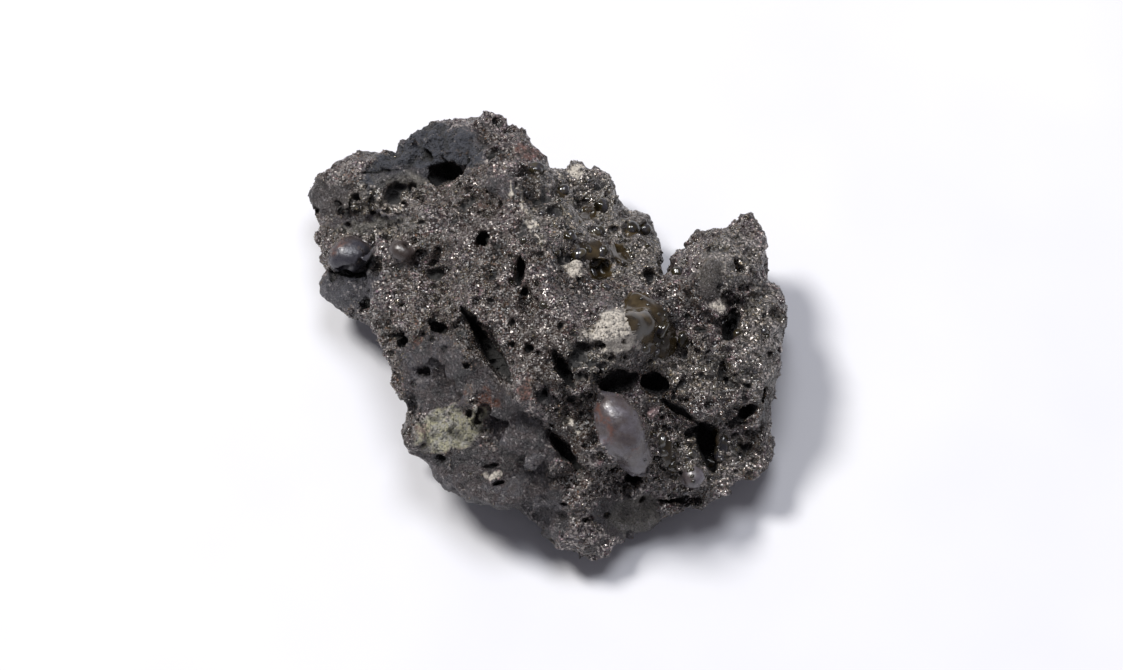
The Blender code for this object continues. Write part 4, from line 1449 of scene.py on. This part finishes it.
class SLAG_OT_skin(bpy.types.Operator):
    """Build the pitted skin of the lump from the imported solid"""

    bl_idname = "slag.skin"
    bl_label = "Build Skin"

    def execute(self, context):
        skin = build_skin(context.scene.slag_sizes)
        colours = context.scene.slag_colours
        for finish in (slag_stone, blister_skin, slag_glass, flow_skin):
            skin.data.materials.append(finish(colours))
        shade_zones(skin)
        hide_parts("slag")
        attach(skin, "root")
        return {"FINISHED"}


class SLAG_OT_crystals(bpy.types.Operator):
    """Crust the rough stretches of the skin with small faceted crystals"""

    bl_idname = "slag.crystals"
    bl_label = "Grow Crystals"

    def execute(self, context):
        skin = bpy.data.objects["slag_skin"]
        grain = context.scene.slag_sizes.grain_size / MM
        finish = slag_crystals()
        for name, count, (least, most), seed in GRAIN_LAYERS:
            crust = scatter_grains(name, skin, count, (least * grain, most * grain), seed)
            crust.data.materials.append(finish)
            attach(crust, "root")
        return {"FINISHED"}


class SLAG_OT_beads(bpy.types.Operator):
    """Set smooth drops of glass on the glassy stretches of the skin"""

    bl_idname = "slag.beads"
    bl_label = "Set Glass Beads"

    def execute(self, context):
        beads = place_beads("glass_beads", bpy.data.objects["slag_skin"])
        beads.data.materials.append(bead_glass())
        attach(beads, "root")
        return {"FINISHED"}


# ---- Stage ----

# Width of the frame in pixels, how much of the drawing plane (mm) a pixel spans, and the lens.
FRAME_PIXELS = 1123
MM_PER_PIXEL = 0.13
SENSOR_MM = 36.0
NEAREST, FARTHEST = 0.05, 20.0
# Distance of the camera in metres, and the place that it looks at: on the drawing plane and above it (mm).
CAMERA_AWAY = 1.1
AIM = (1.5, 0.0)
AIM_ABOVE = 16.0
# Direction towards each softbox, its distance and width in metres, its power in watts and its colour.
SOFTBOXES = {
    "key": ((-0.46, 0.27, 0.85), 1.50, 0.40, 22.4, (1.0, 0.985, 0.96)),
    "window": ((0.05, 0.22, 0.98), 1.40, 0.64, 10.2, (0.93, 0.95, 1.0)),
}
# The room's colour, its glow at the foot and at the ceiling, and the side of the floor in metres.
SKY = (0.90, 0.88, 1.0)
SKY_LOW = 0.34
SKY_HIGH = 0.10
FLOOR_SIDE = 6.0


def set_up(name, data, middle, lean, away):
    """A camera or lamp at this distance from a middle, in the direction of lean, turned back at it."""
    thing = bpy.data.objects.new(name, data)
    thing.location = middle + lean * away
    thing.rotation_mode = "QUATERNION"
    thing.rotation_quaternion = lean.to_track_quat("Z", "Y")
    bpy.context.scene.collection.objects.link(thing)
    return thing


def add_camera():
    """A long lens straight above the drawing plane, framed on the lump."""
    lens = bpy.data.cameras.new("long_lens")
    lens.sensor_width = SENSOR_MM
    lens.lens = lens.sensor_width * CAMERA_AWAY / (FRAME_PIXELS * MM_PER_PIXEL * MM)
    lens.clip_start, lens.clip_end = NEAREST, FARTHEST
    middle = Vector((plane_point(*AIM) + TOWARDS * AIM_ABOVE) * MM)
    bpy.context.scene.camera = set_up("camera", lens, middle, Vector(TOWARDS), CAMERA_AWAY)


def add_softbox(name, lean, away, width, power, colour):
    """A round soft lamp that shines at the middle of the floor."""
    lamp = bpy.data.lights.new(name, "AREA")
    lamp.shape = "DISK"
    lamp.size = width
    lamp.energy = power
    lamp.color = colour
    set_up(name, lamp, Vector(), Vector(lean).normalized(), away)


def add_sky():
    """A room whose walls are pale and whose ceiling is dim, so that upward faces mirror little light."""
    world = bpy.data.worlds.new("soft_room")
    world.use_nodes = True
    tree = world.node_tree
    tree.nodes.clear()
    towards = add(tree, "ShaderNodeSeparateXYZ", {0: (add(tree, "ShaderNodeTexCoord"), "Generated")})
    glow = stretched(tree, (towards, "Z"), 0.0, 1.0, SKY_LOW, SKY_HIGH)
    background = add(tree, "ShaderNodeBackground", {"Color": (*SKY, 1.0), "Strength": glow})
    add(tree, "ShaderNodeOutputWorld", {"Surface": (background, "Background")})
    bpy.context.scene.world = world


class SLAG_OT_stage(bpy.types.Operator):
    """Lay the pale floor and set the soft lights and the camera"""

    bl_idname = "slag.stage"
    bl_label = "Set Stage"

    def execute(self, context):
        half = FLOOR_SIDE / 2 / MM
        corners = np.array([(-half, -half, 0), (half, -half, 0), (half, half, 0), (-half, half, 0)])
        floor = mesh_object("floor", corners, np.array([(0, 1, 2, 3)]))
        floor.data.materials.append(floor_paper())
        add_camera()
        for name, settings in SOFTBOXES.items():
            add_softbox(name, *settings)
        add_sky()
        context.scene.view_settings.view_transform = "Standard"
        return {"FINISHED"}


class SLAG_PT_finish(bpy.types.Panel):
    """Sizes, colours and steps of the slag lump's finish"""

    bl_label = "Slag Lump"
    bl_idname = "SLAG_PT_finish"
    bl_space_type = "VIEW_3D"
    bl_region_type = "UI"
    bl_category = "Slag"

    def draw(self, context):
        layout = self.layout
        for group in (context.scene.slag_sizes, context.scene.slag_colours):
            box = layout.box()
            for name in group.__annotations__:
                box.prop(group, name)
        for step in STEPS:
            layout.operator(step.bl_idname)


STEPS = (SLAG_OT_skin, SLAG_OT_crystals, SLAG_OT_beads, SLAG_OT_stage)
CLASSES = (SlagSizes, SlagColours, *STEPS, SLAG_PT_finish)


def register():
    for kind in CLASSES:
        bpy.utils.register_class(kind)
    bpy.types.Scene.slag_sizes = PointerProperty(type=SlagSizes)
    bpy.types.Scene.slag_colours = PointerProperty(type=SlagColours)


def unregister():
    del bpy.types.Scene.slag_colours
    del bpy.types.Scene.slag_sizes
    for kind in reversed(CLASSES):
        bpy.utils.unregister_class(kind)


def main():
    register()
    bpy.ops.slag.skin()
    bpy.ops.slag.crystals()
    bpy.ops.slag.beads()
    bpy.ops.slag.stage()


if __name__ == "__main__":
    main()
